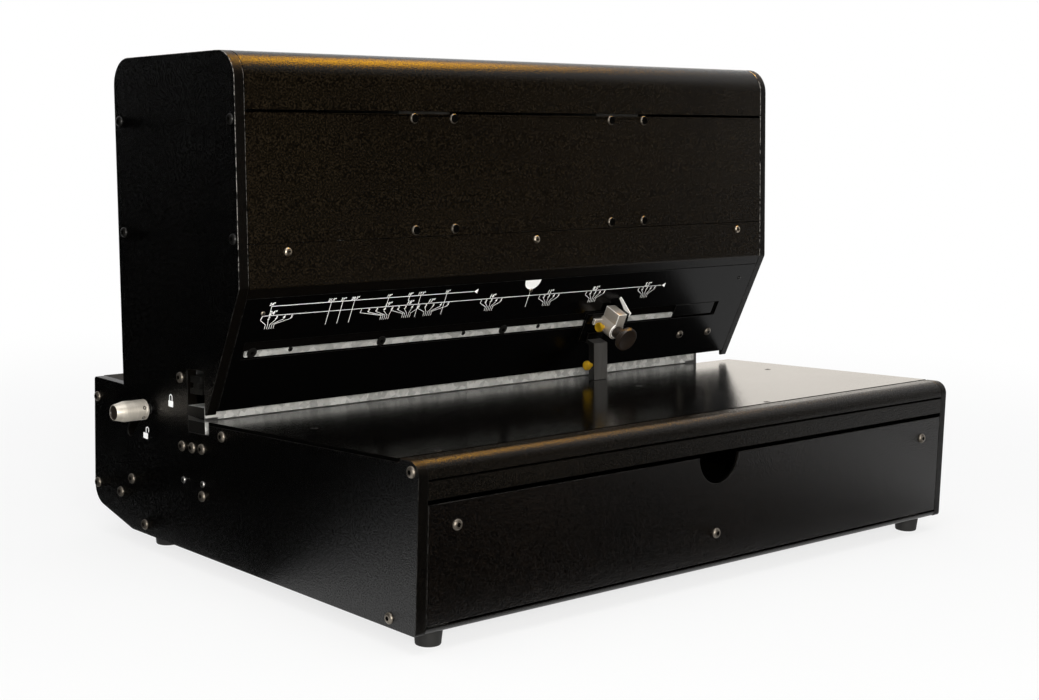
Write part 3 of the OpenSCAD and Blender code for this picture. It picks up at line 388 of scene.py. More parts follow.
def stroke(shape, start, end, width):
    """Adds a printed line between two points."""
    start, end = Vector(start).to_3d(), Vector(end).to_3d()
    run = end - start
    bmesh.ops.create_cube(shape, size=1, matrix=Matrix.Translation((start + end) / 2)
                          @ Matrix.Rotation(math.atan2(run.y, run.x), 4, "Z")
                          @ Matrix.Diagonal((run.length + width, width, 2 * PRINT_T, 1)))


def padlock(swing):
    """A padlock sign whose shackle is swung that far aside."""
    width, depth = 8, 5.6
    bend, half, height, lift = 2.2, 0.5, 3.4, 1.6
    sign = bmesh.new()
    bmesh.ops.create_cube(sign, size=1, matrix=Matrix.Translation((0, -depth / 2, 0))
                          @ Matrix.Diagonal((width, depth, 2 * PRINT_T, 1)))
    corners = [e for e in sign.edges if abs((e.verts[0].co - e.verts[1].co).z) > PRINT_T]
    bmesh.ops.bevel(sign, geom=corners, offset=0.7, offset_type="OFFSET", segments=3, profile=0.5,
                    affect="EDGES", material=-1)
    leg = [sign.verts.new((swing + bend + dx, height, dz)) for dx, dz in
           ((-half, -PRINT_T), (half, -PRINT_T), (half, PRINT_T), (-half, PRINT_T))]
    bmesh.ops.spin(sign, geom=[sign.faces.new(leg)], cent=(swing, height, 0), axis=(0, 0, 1),
                   angle=math.pi, steps=12)
    stroke(sign, (swing - bend, 0), (swing - bend, height - half), 2 * half)
    stroke(sign, (swing + bend, lift if swing else 0), (swing + bend, height - half), 2 * half)
    bmesh.ops.remove_doubles(sign, verts=sign.verts, dist=1e-4)
    bmesh.ops.recalc_face_normals(sign, faces=sign.faces)
    return sign


for name, spot, swing in (("closed_padlock_sign", (356.2, 132.6), 0), ("open_padlock_sign", (400.2, 96.2), 3)):
    sign = padlock(swing)
    sign.transform(upright @ facing((-HALF_W, *spot), OUT_LEFT, UP))
    settled(sign, name, "root", "powder_coat", white_print)

# Base pan, rear cover and feet: folded sheet under and behind the machine, in the same coat,
# on four turned rubber feet.
base_coat = powder_coat("base_coat", (0.0008, 0.0006, 0.0005), (0.0024, 0.002, 0.0016),
                        rough=0.62, specular=0.1, depth=0.0006)
pan_coat = powder_coat("pan_coat", (0.001, 0.0008, 0.0006), (0.005, 0.0041, 0.0032),
                       rough=0.28, specular=0.4, depth=0.0006)
eased("base_pan", 0.4, pan_coat)
eased("rear_base_cover", 0.4, base_coat, plate_edge)
rubber = Finish("foot_rubber", Specular_IOR_Level=0.25)
dust = rubber.noise(240, 4)
rubber.feed(rubber.shader, {
    "Base Color": rubber.mixed(dust, (0.004, 0.004, 0.004), (0.018, 0.0175, 0.0165)),
    "Roughness": 0.5 + 0.25 * dust,
    "Normal": rubber.bumped(dust, 0.3, 0.0003)})
eased("feet", 1.2, rubber)

# Nose bar, front rail and table: the table is a coated plate laid over the plates' shoulders,
# smoother and glossier than they are, behind a bar with a rounded front edge.
table_coat = powder_coat("table_coat", (0.0004, 0.0004, 0.0004), (0.0012, 0.0011, 0.001),
                         rough=0.08, specular=0.25, depth=0.0001)
front_coat = powder_coat("front_coat", (0.0012, 0.001, 0.0007), (0.006, 0.0045, 0.003),
                         rough=0.22, specular=0.15, depth=0.0007, fine=700)
eased("table_plate", 0.4, table_coat, socket_shade,
      trims=[(on_table, (-ANY, 23, -5), (ANY, 25, 2), (0, 2.6, 0))])
eased("nose_bar", 0.3, front_coat)
eased("front_rail", 0.4, front_coat, socket_shade)
ground_steel = Finish("ground_steel", Metallic=1.0)
lines = ground_steel.noise(60, 4, (1, 18, 18))
ground_steel.feed(ground_steel.shader, {
    "Base Color": ground_steel.mixed(lines, (0.3, 0.3, 0.3), (0.52, 0.52, 0.51)),
    "Roughness": 0.28 + 0.2 * lines,
    "Normal": ground_steel.bumped(lines, 0.1, 0.0002)})
eased("table_rear_bar", 0.5, ground_steel)
table_spots = [(-298, 32), (-298, 198), (100, 32), (100, 198), (298, 198)]
screws("table_screws", button_screw(3.4, 0.3, 2.2, 2), [
    on_table @ facing((x, u, 0), UP, (0, 1, 0)) for x, u in table_spots], black_oxide_and_shade)

# Bed and guides of the die set, the chip funnel and the drawer's runners: ground bars and
# zinc-plated sheet, whose crystals show as a faint spangle.
zinc_plate = Finish("zinc_plate", Metallic=0.35)
crystal = zinc_plate.node("ShaderNodeTexVoronoi", {}, {"Vector": zinc_plate.spot, "Scale": 170.0}, "Color")
tone = zinc_plate.node("ShaderNodeSeparateColor", {}, {0: crystal})
haze = zinc_plate.noise(380, 4)
zinc_plate.feed(zinc_plate.shader, {
    "Base Color": zinc_plate.mixed(tone * 0.6 + haze * 0.4, (0.25, 0.25, 0.24), (0.72, 0.72, 0.69)),
    "Roughness": 0.34 + 0.18 * tone,
    "Normal": zinc_plate.bumped(haze, 0.12, 0.0002)})
for node in ("die_bed", "die_back_rail", "die_stop"):
    eased(node, 0.4, ground_steel)
for node in ("chip_chute", "drawer_runners"):
    eased(node, 0.2, zinc_plate)

# Cross plates and covers of the head: two thick plates tie the side plates together, and folded
# sheets close the head over, under and behind them. Socket screws hold the drive to the front plate.
HEAD_FRONT = 240
eased("front_cross_plate", 0.4, head_coat, socket_shade,
      trims=[(on_table, (-ANY, -ANY, 268), (ANY, ANY, 275), (0, 0, -1.8))])
eased("rear_cross_plate", 0.4, head_coat, plate_edge)
for node in ("head_top_cover", "head_rear_cover"):
    eased(node, 0.25, head_coat, socket_shade)
# The lower cover's downward faces take the darker edge coat: painted shade under the fold.
recoated(eased("lower_cover", 0.25, head_coat, socket_shade), edge_and_shade_coat, lambda out: out.z < -0.3)
OUT_FRONT = (0, -1, 0)
BLOCK_X, BLOCK_HALF, BLOCK_ROWS = 126.5, 23.5, (163.25, 265.25)
block_spots = [(side * BLOCK_X + dx, v) for side in (-1, 1) for dx in (-BLOCK_HALF, BLOCK_HALF) for v in BLOCK_ROWS]
block_screws = screws("block_screws", button_screw(4.75, 2.4, 3.4, 26, 0.8), [
    on_table @ facing((x, HEAD_FRONT, v), OUT_FRONT, UP) for x, v in block_spots], screw_steel)
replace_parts(block_screws, "front_plate_screws")


def cross_screw(radius, height):
    """A pan-head screw with a cross recess."""
    shank = 6
    shape = turned([
        (0, -shank), (0.5 * radius, -shank), (0.5 * radius, 0), (radius, 0), (radius, 0.35 * height),
        (0.9 * radius, 0.72 * height), (0.72 * radius, 0.93 * height), (0.6 * radius, height),
        (0.5 * radius, 0.98 * height), (0.5 * radius, 0.4 * height), (0, 0.2 * height)])
    hollowed(shape, 0.5 * radius, 0.05 * height)
    arm = math.radians(16)
    cut_to(shape, 0.5 * radius, lambda turn: radius * (
        0.5 if min(turn % (math.pi / 2), -turn % (math.pi / 2)) < arm else 0.2))
    return shape


nickel = scuffed("nickel_plate", (0.26, 0.22, 0.17), (0.55, 0.48, 0.38),
                 metallic=1.0, fine=420, rough=0.25)
cover_spots = [(-292.5, 149.5), (0, 149.5), (295, 149.5)]
screws("cover_screws", cross_screw(3.9, 2.2), [
    on_table @ facing((x, HEAD_FRONT, v), OUT_FRONT, UP) for x, v in cover_spots], nickel)

# Scale panel: a smooth black sheet down the chin with a white printed scale of sheet widths in inches.
# A fan of fine lines under each width leads to the hole pattern that suits it.
CHIN_TOP, CHIN_BACK, CHIN_DROP = 119.5, 57, 114
CHIN = math.atan2(CHIN_BACK, CHIN_DROP)
on_chin = on_table @ Matrix.Translation((0, HEAD_FRONT, CHIN_TOP)) @ Matrix.Rotation(math.pi / 2 + CHIN, 4, "X")
panel_coat = powder_coat("panel_coat", (0.0003, 0.0003, 0.0003), (0.0009, 0.0008, 0.0007),
                         rough=0.16, specular=0.14, depth=0.0001)
eased("scale_panel", 0.3, panel_coat, plate_edge,
      trims=[(on_chin, (-ANY, -125, -ANY), (-300, -120, ANY), (0, -3, 0))])
INCH, WIDEST, WIDEST_X = 25.4, 24, -301.3
UPPER_S, UPPER_START, UPPER_END = 19.2, -304.3, -74
LOWER_S, LOWER_START, LOWER_END = 28.6, -311.6, 190
CENTRE_X, ARROW_GAP = 1.2, 4
FAN_LINES, FAN_PITCH, FAN_TOP, FAN_KNEE, FAN_FOOT = 5, 2.3, 33, 37.6, 42
TOP_ROW = [(UPPER_START, LOWER_S, "24"), (-240.5, 42, "21.5"), (-227.8, 42, "21"), (-214.8, 42, "20.5"),
           (-176, 31.7, "19"), (-151.5, 24, "18"), (-138.2, 42, "17.5"), (-106.7, 41.5, "16")]
FANS = [(24, -11, 21), (19, -30, 6), (18, -20, 12), (17, -14, 22), (14, -13, 13), (11, -13, 13),
        (8.5, -12, 14), (5.5, -12, 12)]


def lettered(shape, words, spot, size):
    """Adds plain numbers, printed with their foot at the spot."""
    curve = bpy.data.curves.new("numbers", "FONT")
    curve.body, curve.size, curve.extrude, curve.align_x = words, size, PRINT_T, "CENTER"
    curve.resolution_u, curve.shear, curve.offset = 2, 0.25, 0.1
    letters = bpy.data.objects.new("numbers", curve)
    mesh = bpy.data.meshes.new_from_object(letters)
    bpy.data.objects.remove(letters)
    mesh.transform(Matrix.Translation((*spot, 0)))
    shape.from_mesh(mesh)
    bpy.data.meshes.remove(mesh)


def arrow(shape, x, s):
    """Adds a small arrow head that points to the left along a line."""
    place = Matrix.Translation((x, -s, PRINT_T)) @ Matrix.Rotation(math.pi / 2, 4, "Z")
    tip = bmesh.ops.create_circle(shape, cap_ends=True, segments=3, radius=3, matrix=place)
    bmesh.ops.solidify(shape, geom=tip["verts"][0].link_faces[:], thickness=PRINT_T)


scale_print = bmesh.new()
stroke(scale_print, (UPPER_START, -UPPER_S), (UPPER_END, -UPPER_S), 0.55)
stroke(scale_print, (LOWER_START, -LOWER_S), (LOWER_END, -LOWER_S), 0.5)
arrow(scale_print, UPPER_END + ARROW_GAP, UPPER_S)
arrow(scale_print, LOWER_END + ARROW_GAP, LOWER_S)
stroke(scale_print, (CENTRE_X, -25), (CENTRE_X, -41), 0.45)
for x, end, words in TOP_ROW:
    stroke(scale_print, (x, -UPPER_S), (x, -end), 0.48)
    lettered(scale_print, words + '"', (x, 0.8 - UPPER_S), 4)
for width, low, high in FANS:
    x = WIDEST_X + (WIDEST - width) * INCH
    lettered(scale_print, f'{width}"', (x, 0.8 - LOWER_S), 5.6)
    for i in range(FAN_LINES):
        top, foot = x + low + (high - low) * i / (FAN_LINES - 1), x + FAN_PITCH * (i - FAN_LINES // 2)
        lettered(scale_print, str(i + 1), (top, -LOWER_S - 3.9), 4.4)
        stroke(scale_print, (top, -FAN_TOP), (foot, -FAN_KNEE), 0.4)
        stroke(scale_print, (foot, -FAN_KNEE), (foot, -FAN_FOOT), 0.4)
bmesh.ops.remove_doubles(scale_print, verts=scale_print.verts, dist=1e-5)
scale_print.transform(on_chin)
settled(scale_print, "scale_print", "root", "gloss_black", white_print)

# Centre mark: a white half round label over the middle of the scale.
# It is stuck to the panel, and its flat edge lies along the cover's fold.
MARK_R, MARK_X, MARK_S = 10.3, 0.8, 11.2
centre_mark = bmesh.new()
bmesh.ops.create_circle(centre_mark, cap_ends=True, segments=48, radius=MARK_R)
bmesh.ops.bisect_plane(centre_mark, geom=centre_mark.verts[:] + centre_mark.edges[:] + centre_mark.faces[:],
                       plane_co=(0, 0, 0), plane_no=(0, 1, 0), clear_outer=True)
bmesh.ops.solidify(centre_mark, geom=centre_mark.faces[:], thickness=2 * PRINT_T)
bmesh.ops.recalc_face_normals(centre_mark, faces=centre_mark.faces)
centre_mark.transform(on_chin @ Matrix.Translation((MARK_X, -MARK_S, PRINT_T)))
settled(centre_mark, "centre_mark", "root", "gloss_black", white_print)

# Panel screws: small plated ones along the scale, a black one at its right,
# and two button heads by the rail's end block.
PANEL_OUT, PANEL_UP = (0, 0, 1), (0, 1, 0)
for name, finish, spots in (("panel_screws", nickel, ((-311.7, 25.8), (1.6, 22.9))),
                            ("black_panel_screw", black_oxide_and_shade, ((313, 27),))):
    screws(name, cross_screw(2.1, 0.9), [
        on_chin @ facing((x, -s, 0), PANEL_OUT, PANEL_UP) for x, s in spots], finish)
screws("end_block_screws", button_screw(4.6, 2.2, 3.2, 6), [
    on_chin @ facing((x, -s, 0), PANEL_OUT, PANEL_UP) for x, s in ((249, 93.6), (294, 93.5))], screw_steel)

# Guide rail: a zinc-plated strip in the panel's slot that the side guide slides on.
# It is screwed to the bar behind it, with a black block at its right end.
eased("guide_rail", 0.25, zinc_plate, trims=[
    (on_chin, (-ANY, -75, -ANY), (ANY, -69, ANY), (0, 1, 0)),
    (on_chin, (-ANY, -62, -ANY), (ANY, -60, ANY), (0, -4.2, 0)),
    (on_chin, (-ANY, -ANY, -ANY), (-300, ANY, ANY), (3, 0, 0))])
eased("rail_support", 0.4, socket_shade)
eased("rail_end_block", 0.4, panel_coat, plate_edge, trims=[
    (on_chin, (285, -ANY, -ANY), (ANY, ANY, ANY), (-1.6, 0, 0)),
    (on_chin, (-ANY, -ANY, -ANY), (ANY, -68, ANY), (0, 1.2, 0))])
RAIL_FACE, RAIL_SCREW_S, RAIL_PIN_S = -0.5, 66.1, 66
screws("rail_screws", button_screw(5.2, 0.7, 3.2, 2), [
    on_chin @ facing((x, -RAIL_SCREW_S, RAIL_FACE), PANEL_OUT, PANEL_UP) for x in (-312, -169, -18)], black_oxide_and_shade)
screws("rail_pins", button_screw(2.4, 0.5, 1.6, 2), [
    on_chin @ facing((x, -RAIL_PIN_S, RAIL_FACE), PANEL_OUT, PANEL_UP) for x in (-271, -69, 29)], black_oxide_and_shade)

# Drive: a geared motor turns a shaft with two cams that press the ram down between bearing blocks,
# and coil springs on its four rods lift it again.
grey_casting = Finish("grey_casting", Metallic=0.3)
sand = grey_casting.noise(500, 4)
grey_casting.feed(grey_casting.shader, {
    "Base Color": grey_casting.mixed(sand, (0.12, 0.125, 0.13), (0.24, 0.245, 0.25)),
    "Roughness": 0.5 + 0.2 * sand,
    "Normal": grey_casting.bumped(sand, 0.3, 0.0004)})
bronze = scuffed("sintered_bronze", (0.24, 0.13, 0.04), (0.5, 0.3, 0.11),
                 metallic=1.0, fine=900, rough=0.35, spread=0.25)
for node in ("bearing_blocks", "cam_shaft", "drive_cams", "cam_shoes", "guide_rods", "rod_collars"):
    eased(node, 0.4, ground_steel)
eased("ram", 0.4, black_oxide_and_shade)
for node in ("gearbox", "drive_motor"):
    eased(node, 1, grey_casting)
eased("shaft_bushes", 0.3, bronze)
BLOCK_TOP, RAM_U, ROD_U, STROKE = 276.75, 313.5, 36, 10
SPRING_L, COIL_R, WIRE_R, TURNS, TURN_STEPS = 27, 9.65, 1.3, 5.5, 20
spring_steel = scuffed("spring_steel", (0.12, 0.12, 0.125), (0.36, 0.36, 0.36),
                       metallic=1.0, fine=300, rough=0.3)
coil = bmesh.new()
wire_end = Matrix.Translation((COIL_R, 0, WIRE_R)) @ Matrix.Rotation(math.pi / 2, 4, "X")
bmesh.ops.create_circle(coil, cap_ends=True, segments=10, radius=WIRE_R, matrix=wire_end)
steps = round(TURNS * TURN_STEPS)
bmesh.ops.spin(coil, geom=coil.faces[:], axis=(0, 0, 1), cent=(0, 0, 0), angle=TURNS * math.tau, steps=steps,
               dvec=(0, 0, (SPRING_L - 2 * WIRE_R) / steps))
bmesh.ops.recalc_face_normals(coil, faces=coil.faces)
springs = settled(repeated(coil, [
    on_table @ Matrix.Translation((x, RAM_U + du, BLOCK_TOP)) for x in (-BLOCK_X, BLOCK_X) for du in (-ROD_U, ROD_U)]),
    "coil_springs", "root", "steel", spring_steel)
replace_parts(springs, "return_springs")
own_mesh(springs)

# Die set: two zinc-plated plates with ground spacers between them, and a hooked bar with the pins.
# It is slid in from the left as one set, over the bed and under the ram.
lip = (on_table, (-ANY, 299, 2.5), (ANY, 301, 3.5), (0, 0, -2))
for node in ("die_plate", "die_guide_plate"):
    piece = eased(node, 0.3, zinc_plate, trims=[lip])
    # The end faces take the black finish: painted shade on the ends seen through the side plates' windows.
    recoated(piece, black_oxide_and_shade, lambda out: abs(out.x) > 0.6)
for node in ("die_spacers", "punch_pins"):
    eased(node, 0.2, ground_steel)
# The pin bar is black all over: painted shade where it shows in the left plate's window.
eased("pin_bar", 0.2, black_oxide_and_shade)

# Chip drawer: a coated steel front with a finger notch, on a folded tray in a matt black coat that also paints the
# shade inside the notch.
# Three button-head screws hold them together, and the tray slides on its runners.
drawer_coat = powder_coat("drawer_coat", (0.0001, 0.00008, 0.00006), (0.005, 0.0033, 0.0021),
                          rough=0.17, specular=0.3, depth=0.0009, fine=700)
drawer_front = eased("drawer_front", 0.5, drawer_coat, plate_edge,
                     trims=[(upright, (-ANY, -ANY, 5), (ANY, ANY, 6), (0, 0, 1.3))])
# The front's top faces take the matt black socket finish: painted shade in the gap under the rail.
recoated(drawer_front, socket_shade, lambda out: out.z > 0.5)
eased("drawer_tray", 0.2, base_coat)
drawer_spots = [(-303.5, 84), (303.5, 84), (0, 32)]
drawer_screws = screws("drawer_front_screws", button_screw(4.75, 2.4, 3.4, 3), [
    upright @ facing((x, 0, z), OUT_FRONT, UP) for x, z in drawer_spots], screw_steel, "drawer")
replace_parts(drawer_screws, "drawer_screws")

# Side guide: a black slide on the rail carries a steel boss with a square block on it, a pointer beside the
# block, a knurled clamp knob, and a bar that the paper's edge rests against. Two brass thumbscrews hold it.
satin_steel = scuffed("satin_steel", (0.17, 0.15, 0.125), (0.4, 0.365, 0.32),
                      metallic=0.3, fine=420, rough=0.24, spread=0.18, stretch=(1, 0.12, 0.12))
# Near-white rims: partly rubbed steel, partly painted highlight on the guide's edges and pointer blade.
rubbed_and_highlit_rim = scuffed("rubbed_and_highlit_rim", (0.7, 0.68, 0.64), (0.95, 0.93, 0.9),
                     metallic=0.2, fine=600, rough=0.25)
dark_steel = scuffed("dark_steel", (0.16, 0.157, 0.15), (0.36, 0.352, 0.335),
                     metallic=1.0, fine=200, rough=0.4, spread=0.15, stretch=(1, 1, 0.1))
black_plastic = Finish("black_plastic", Specular_IOR_Level=0.35)
mould = black_plastic.noise(700, 2)
black_plastic.feed(black_plastic.shader, {
    "Base Color": black_plastic.mixed(mould, (0.008, 0.008, 0.008), (0.022, 0.0215, 0.021)),
    "Roughness": 0.38 + 0.15 * mould,
    "Normal": black_plastic.bumped(mould, 0.2, 0.0003)})
GUIDE_X, BOSS_S, BOSS_N, BOSS_R = 119, 66, 23.2, 9.2
SLIDE_LEFT, SLIDE_RIGHT, SLIDE_LOW, SLIDE_HIGH, SLIDE_BACK, SLIDE_N, FOOT_N = 91, 133, -88, -55, 0.3, 3.2, 6


def block(shape, low, high, ease):
    """Adds a box up the chin between two corners, with eased rims of the second finish."""
    low, high = Vector(low), Vector(high)
    made = bmesh.ops.create_cube(shape, size=1, matrix=Matrix.Translation((low + high) / 2)
                                 @ Matrix.Diagonal((*(high - low), 1)))
    edges = {edge for point in made["verts"] for edge in point.link_edges}
    rims = bmesh.ops.bevel(shape, geom=list(edges), offset=ease, offset_type="OFFSET", segments=2, profile=0.5,
                           affect="EDGES", material=-1)
    for face in rims["faces"]:
        face.material_index = 1
    return shape


slide = block(bmesh.new(), (SLIDE_LEFT, SLIDE_LOW, SLIDE_BACK), (SLIDE_RIGHT, SLIDE_HIGH, SLIDE_N), 0.4)
block(slide, (99, SLIDE_LOW, SLIDE_BACK), (120, -76.5, FOOT_N), 0.4)
block(slide, (SLIDE_LEFT, -60.7, -2.7), (SLIDE_RIGHT, -55.3, 0.4), 0.3)
slide.transform(on_chin)
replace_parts(settled(slide, "guide_slide", "side_guide", "powder_coat", panel_coat, plate_edge), "guide_carriage")
boss = turned([(0, SLIDE_N), (BOSS_R, SLIDE_N), (BOSS_R, BOSS_N - 0.7), (BOSS_R - 0.7, BOSS_N), (7.4, BOSS_N),
               (7.1, BOSS_N - 0.4), (0, BOSS_N - 0.4)], 48)
# The boss's front chamfer takes the pale rim finish: painted highlight.
for face in boss.faces:
    if BOSS_N - 0.75 < face.calc_center_median().z < BOSS_N - 0.05:
        face.material_index = 1
boss.transform(Matrix.Translation((GUIDE_X, -BOSS_S, 0)))
block(boss, (114.2, -BOSS_S, SLIDE_N), (126, -46.3, BOSS_N), 0.55)
block(boss, (101.5, -67, SLIDE_N - 0.2), (112, -60.5, FOOT_N), 0.4)
boss.transform(on_chin)
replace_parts(settled(boss, "guide_block", "side_guide", "steel", satin_steel, rubbed_and_highlit_rim), "guide_body")
holder = block(bmesh.new(), (126.1, -62, SLIDE_N), (SLIDE_RIGHT, -47.4, 20.4), 0.4)
holder.transform(on_chin)
settled(holder, "pointer_holder", "side_guide", "powder_coat", panel_coat, plate_edge)
BLADE_X, BLADE_T = 133.1, 1.2
BLADE_LINE = [(37.9, 1.9), (46.6, 21.8), (56, 19), (56, 16), (50.2, 16.5), (40.4, 0.7)]
blade = bmesh.new()
flank = blade.faces.new([blade.verts.new((BLADE_X, -s, n)) for s, n in BLADE_LINE])
flank.normal_update()
bmesh.ops.solidify(blade, geom=[flank], thickness=BLADE_T)
bmesh.ops.recalc_face_normals(blade, faces=blade.faces)
blade.transform(on_chin)
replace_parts(settled(blade, "guide_blade", "side_guide", "steel", rubbed_and_highlit_rim), "guide_pointer")
bar = eased("guide_bar", 0.5, dark_steel, trims=[
    (on_table, (-ANY, 266, 47), (ANY, 270, 52), (0, 3.8, -7.6)),
    (on_table, (-ANY, 261, 44), (ANY, 264, 48), (0, 0, -8))])
# The bar's left faces take the black finish: painted shade on the side away from the light.
recoated(bar, black_oxide_and_shade, lambda out: out.x < -0.5)


def knurled(profile, radius, depth, steps):
    """A turned shape whose outside at that radius has straight knurling."""
    shape = turned(profile, steps)
    cut_to(shape, radius, lambda turn: radius - depth * (round(turn * steps / math.tau) % 2))
    return shape


brown_plastic = Finish("brown_plastic", Specular_IOR_Level=0.4)
mould = brown_plastic.noise(500, 3)
brown_plastic.feed(brown_plastic.shader, {
    "Base Color": brown_plastic.mixed(mould, (0.007, 0.0048, 0.0036), (0.022, 0.0155, 0.0115)),
    "Roughness": 0.26 + 0.16 * mould})
CLAMP_R, CLAMP_FOOT = 12.6, BOSS_N - 0.6
knob = knurled([
    (0, CLAMP_FOOT), (6.3, CLAMP_FOOT), (6.3, 35), (12, 35.4), (CLAMP_R, 36), (CLAMP_R, 40.2), (12.1, 40.9),
    (11.2, 41.3), (10.2, 41.25), (9.6, 40.9), (0, 40.9)], CLAMP_R, depth=0.45, steps=72)
knob.transform(on_chin @ facing((GUIDE_X, -BOSS_S, 0), PANEL_OUT, PANEL_UP))
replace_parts(settled(knob, "clamp_knob", "clamp_knob", "black_plastic", brown_plastic), "guide_knob")
brass = Finish("turned_brass", Metallic=0.8)
rings = brass.noise(900, 2, (1, 0.2, 0.2))
stain = brass.noise(140, 4)
brass.feed(brass.shader, {
    "Base Color": brass.mixed(stain, (0.82, 0.43, 0.01), (0.98, 0.64, 0.04)),
    "Roughness": 0.2 + 0.14 * rings + 0.1 * stain})


def thumbscrew(shank):
    """A brass thumbscrew: its head stands 7 high on z = 0, over its shank."""
    head = 5
    return knurled([
        (0, -shank), (2, -shank), (2, 0), (2.5, 0.1), (2.6, 2.4), (3.1, 3.1), (4.6, 3.8), (head, 4.2), (head, 6.3),
        (4.7, 6.8), (4.2, 7), (3.6, 6.8), (0, 6.5)], head, depth=0.25, steps=48)


screw = thumbscrew(4.5)
screw.transform(on_chin @ facing((109, -BOSS_S, 12), OUT_LEFT, PANEL_UP))
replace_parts(settled(screw, "upper_thumbscrew", "boss_screw", "brass", brass), "boss_thumbscrew")
screw = thumbscrew(6.3)
screw.transform(on_table @ facing((99, 266.41, 15.7), OUT_LEFT, UP))
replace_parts(settled(screw, "lower_thumbscrew", "bar_screw", "brass", brass), "bar_thumbscrew")

# Die lock: a ground steel bell crank on a pivot inside the left plate, which holds the die set.
# Its turned knob has a plastic plug and two grub screws, and stands out through an arc slot.
turned_knob = Finish("turned_knob", Metallic=0.6)
rings = turned_knob.noise(1500, 2, (1, 0.05, 0.05))
smear = turned_knob.noise(60, 3)
turned_knob.feed(turned_knob.shader, {
    "Base Color": turned_knob.mixed(rings * 0.6 + smear * 0.4, (0.36, 0.325, 0.27), (0.78, 0.73, 0.65)),
    "Roughness": 0.3 + 0.16 * rings})
eased("lock_lever", 0.4, ground_steel)
eased("lock_pivot", 0.3, zinc_plate)
KNOB_X, KNOB_Y, KNOB_Z, KNOB_R = -343.5, 393.97, 119.45, 9.5
GRUB_OUT, GRUB_R, GRUB_TURNS = 9.4, 9.45, (math.radians(-20), math.radians(40))
at_knob = upright @ facing((KNOB_X, KNOB_Y, KNOB_Z), OUT_LEFT, UP)
knob = turned([
    (0, 4.6), (9.1, 4.6), (KNOB_R, 5), (KNOB_R, 6.6), (9.3, 6.9), (KNOB_R, 7.2), (KNOB_R, 26.4), (9.3, 27.2),
    (7.3, 35.6), (7, 36.2), (6.7, 36.3), (6.7, 33), (0, 33)], 64)
knob.transform(at_knob)
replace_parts(settled(knob, "lock_grip", "die_lock", "bright_knob", turned_knob), "lock_knob")
stud = turned([(0, -2), (4.5, -2), (4.5, 4.7), (0, 4.7)], 24)
stud.transform(at_knob)
settled(stud, "lock_stud", "die_lock", "black_oxide", black_oxide_and_shade)
plug = turned([(0, 30), (6.75, 30), (6.75, 35.8), (6.4, 36.1), (5.9, 35.9), (5.6, 35.4), (0, 35.3)], 48)
plug.transform(at_knob)
settled(plug, "lock_grip_plug", "die_lock", "black_plastic", brown_plastic)
grub = turned([(0, -0.6), (1.7, -0.6), (1.7, 0.1), (1.4, 0.15), (0.9, 0.15), (0.9, -0.3), (0, -0.4)], 12)
round_knob = upright @ Matrix.Translation((KNOB_X - GRUB_OUT, KNOB_Y, KNOB_Z))
settled(repeated(grub, [
    round_knob @ Matrix.Rotation(turn, 4, "X") @ facing((0, -GRUB_R, 0), OUT_FRONT, UP) for turn in GRUB_TURNS]),
    "lock_grip_screws", "die_lock", "black_oxide", black_oxide_and_shade)

# Rear fittings: a mains inlet, a rocker switch and a pedal socket, moulded in black plastic
# and set in the rear cover, with a closed box of zinc-plated sheet for the controls inside.
for node in ("power_inlet", "switch_housing", "pedal_socket", "power_switch"):
    eased(node, 0.3, black_plastic)
eased("control_housing", 0.6, zinc_plate)

# Studio: a pale floor in a white room, a soft lamp at the camera's left and one over the top. Cards that only
# gloss sees stand for the dark and bright parts of the room, and a warm one runs along the head's rounded edge.
def seen_share(nodes):
    """The rays that see the room as it is: straight ones, and those in gloss or through glass."""
    straight, gloss, glass = (nodes.node("ShaderNodeLightPath", {}, {}, f"Is {kind} Ray")
                              for kind in ("Camera", "Glossy", "Transmission"))
    return straight + gloss + glass


def staged(name, shape, finish):
    """Makes a shape a part of the studio."""
    mesh = bpy.data.meshes.new(name)
    shape.to_mesh(mesh)
    shape.free()
    mesh.materials.append(finish.material)
    thing = bpy.data.objects.new(name, mesh)
    bpy.context.scene.collection.objects.link(thing)
    return thing


floor_paint = Finish("floor_paint", Roughness=0.9, Specular_IOR_Level=0.0)
floor_paint.feed(floor_paint.shader, {
    "Base Color": floor_paint.mixed(floor_paint.noise(3, 2), (0.8, 0.8, 0.79), (0.84, 0.84, 0.83))})
away = floor_paint.node("ShaderNodeVectorMath", {"operation": "LENGTH"}, {0: floor_paint.spot}, "Value")
clear = floor_paint.node("ShaderNodeMapRange", {"interpolation_type": "SMOOTHSTEP"}, {
    "Value": away, "From Min": 0.5, "From Max": 1.6, "To Min": 0.76, "To Max": 1.0})
glow = floor_paint.node("ShaderNodeEmission", {}, {"Strength": 1.0})
painted = Value(floor_paint, floor_paint.shader.outputs[0])
floor_paint.feed(floor_paint.tree.nodes["Material Output"], {"Surface": floor_paint.node(
    "ShaderNodeMixShader", {}, {0: seen_share(floor_paint) * clear, 1: painted, 2: glow})})
floor_shape = bmesh.new()
bmesh.ops.create_grid(floor_shape, x_segments=1, y_segments=1, size=30)
staged("floor", floor_shape, floor_paint)


def card(name, tone, strength, shape):
    """An evenly lit card that is seen only in gloss."""
    paint = Finish(name, Roughness=0.9, Specular_IOR_Level=0.0, Emission_Strength=strength)
    dim = [0.9 * c for c in tone]
    paint.feed(paint.shader, {
        "Base Color": (0, 0, 0, 1),
        "Emission Color": paint.mixed(paint.noise(4, 2), dim, tone)})
    thing = staged(name, shape, paint)
    thing.visible_camera = thing.visible_diffuse = thing.visible_shadow = thing.visible_transmission = False


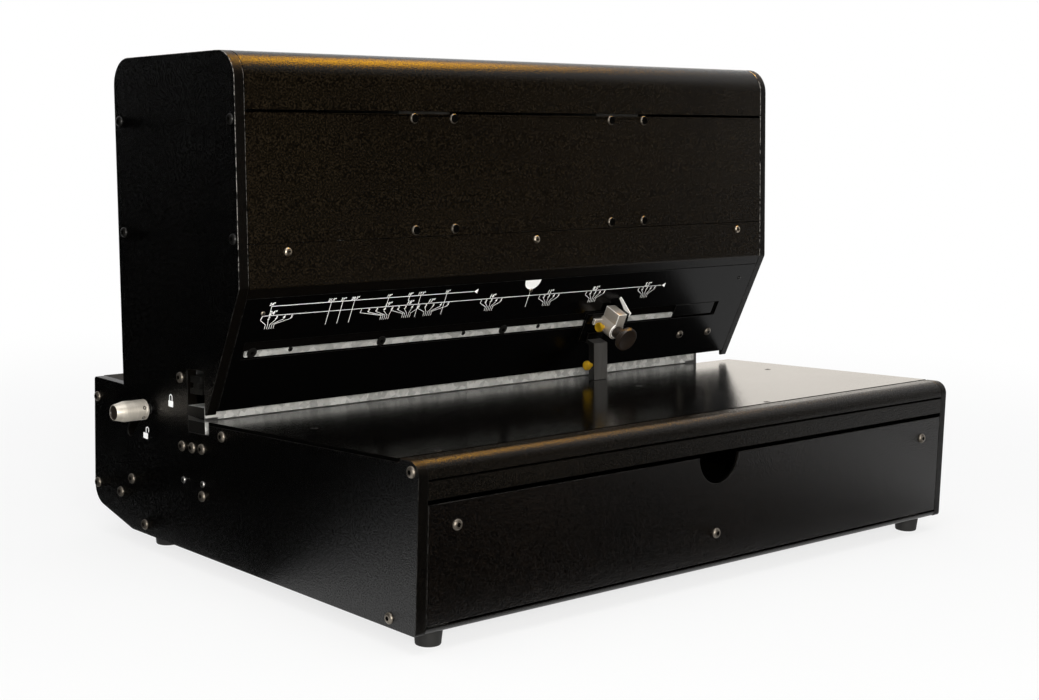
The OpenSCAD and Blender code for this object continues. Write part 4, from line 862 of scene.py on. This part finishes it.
def boards(*boxes):
    """Flat boards: each is a middle and a size."""
    shape = bmesh.new()
    for middle, size in boxes:
        bmesh.ops.create_cube(shape, size=1, matrix=Matrix.Translation(middle)
                              @ Matrix.Diagonal((*(max(s, 0.002) for s in size), 1)))
    return shape


card("black_cards", (0.003, 0.003, 0.003), 1, boards(
    ((-0.95, 3.8, 1.5), (0, 8.4, 3.0)), ((-0.64, 4.0, 0.004), (0.62, 8.04, 0)),
    ((-0.04, -1.65, 0.004), (0.92, 2.75, 0))))
card("grey_cards", (0.033, 0.025, 0.017), 1, boards(
    ((1.2, -1.75, 1.25), (4.0, 0, 2.5)), ((1.95, -1.25, 0.004), (2.4, 1.0, 0))))
card("white_card", (1, 0.94, 0.86), 1.5, boards(((2.4, 1.9, 0.5), (0, 3.0, 1.0))))
card("warm_card", (1, 0.46, 0.01), 32, boards(((0.93, 0.17, 1.92), (0.46, 0.8, 0))))

world = bpy.data.worlds.new("room")
world.use_nodes = True
bpy.context.scene.world = world
room = Nodes(world.node_tree)
soft = room.node("ShaderNodeBackground", {}, {"Color": (0.95, 0.97, 1, 1), "Strength": 0.6})
white = room.node("ShaderNodeBackground", {}, {"Color": (1, 1, 1, 1), "Strength": 1.0})
room.feed(room.tree.nodes["World Output"], {"Surface": room.node(
    "ShaderNodeMixShader", {}, {0: seen_share(room), 1: soft, 2: white})})


def lamp(name, spot, aim, size, power, colour):
    """A soft box that faces a point."""
    light = bpy.data.lights.new(name, "AREA")
    light.shape, light.size, light.size_y, light.energy, light.color = "RECTANGLE", *size, power, colour
    holder = bpy.data.objects.new(name, light)
    way = Vector(aim) - Vector(spot)
    holder.matrix_world = Matrix.Translation(spot) @ way.to_track_quat("-Z", "Y").to_matrix().to_4x4()
    holder.visible_camera = False
    bpy.context.scene.collection.objects.link(holder)


MIDDLE = (0, 0, 0.2)
lamp("key_lamp", (-1.5, -2.3, 0.7), MIDDLE, (1.2, 1.2), 75, (1, 0.97, 0.92))
lamp("top_lamp", (-0.3, -0.4, 2.4), MIDDLE, (1.6, 1.6), 20, (1, 1, 1))
bpy.context.scene.view_settings.view_transform = "Standard"
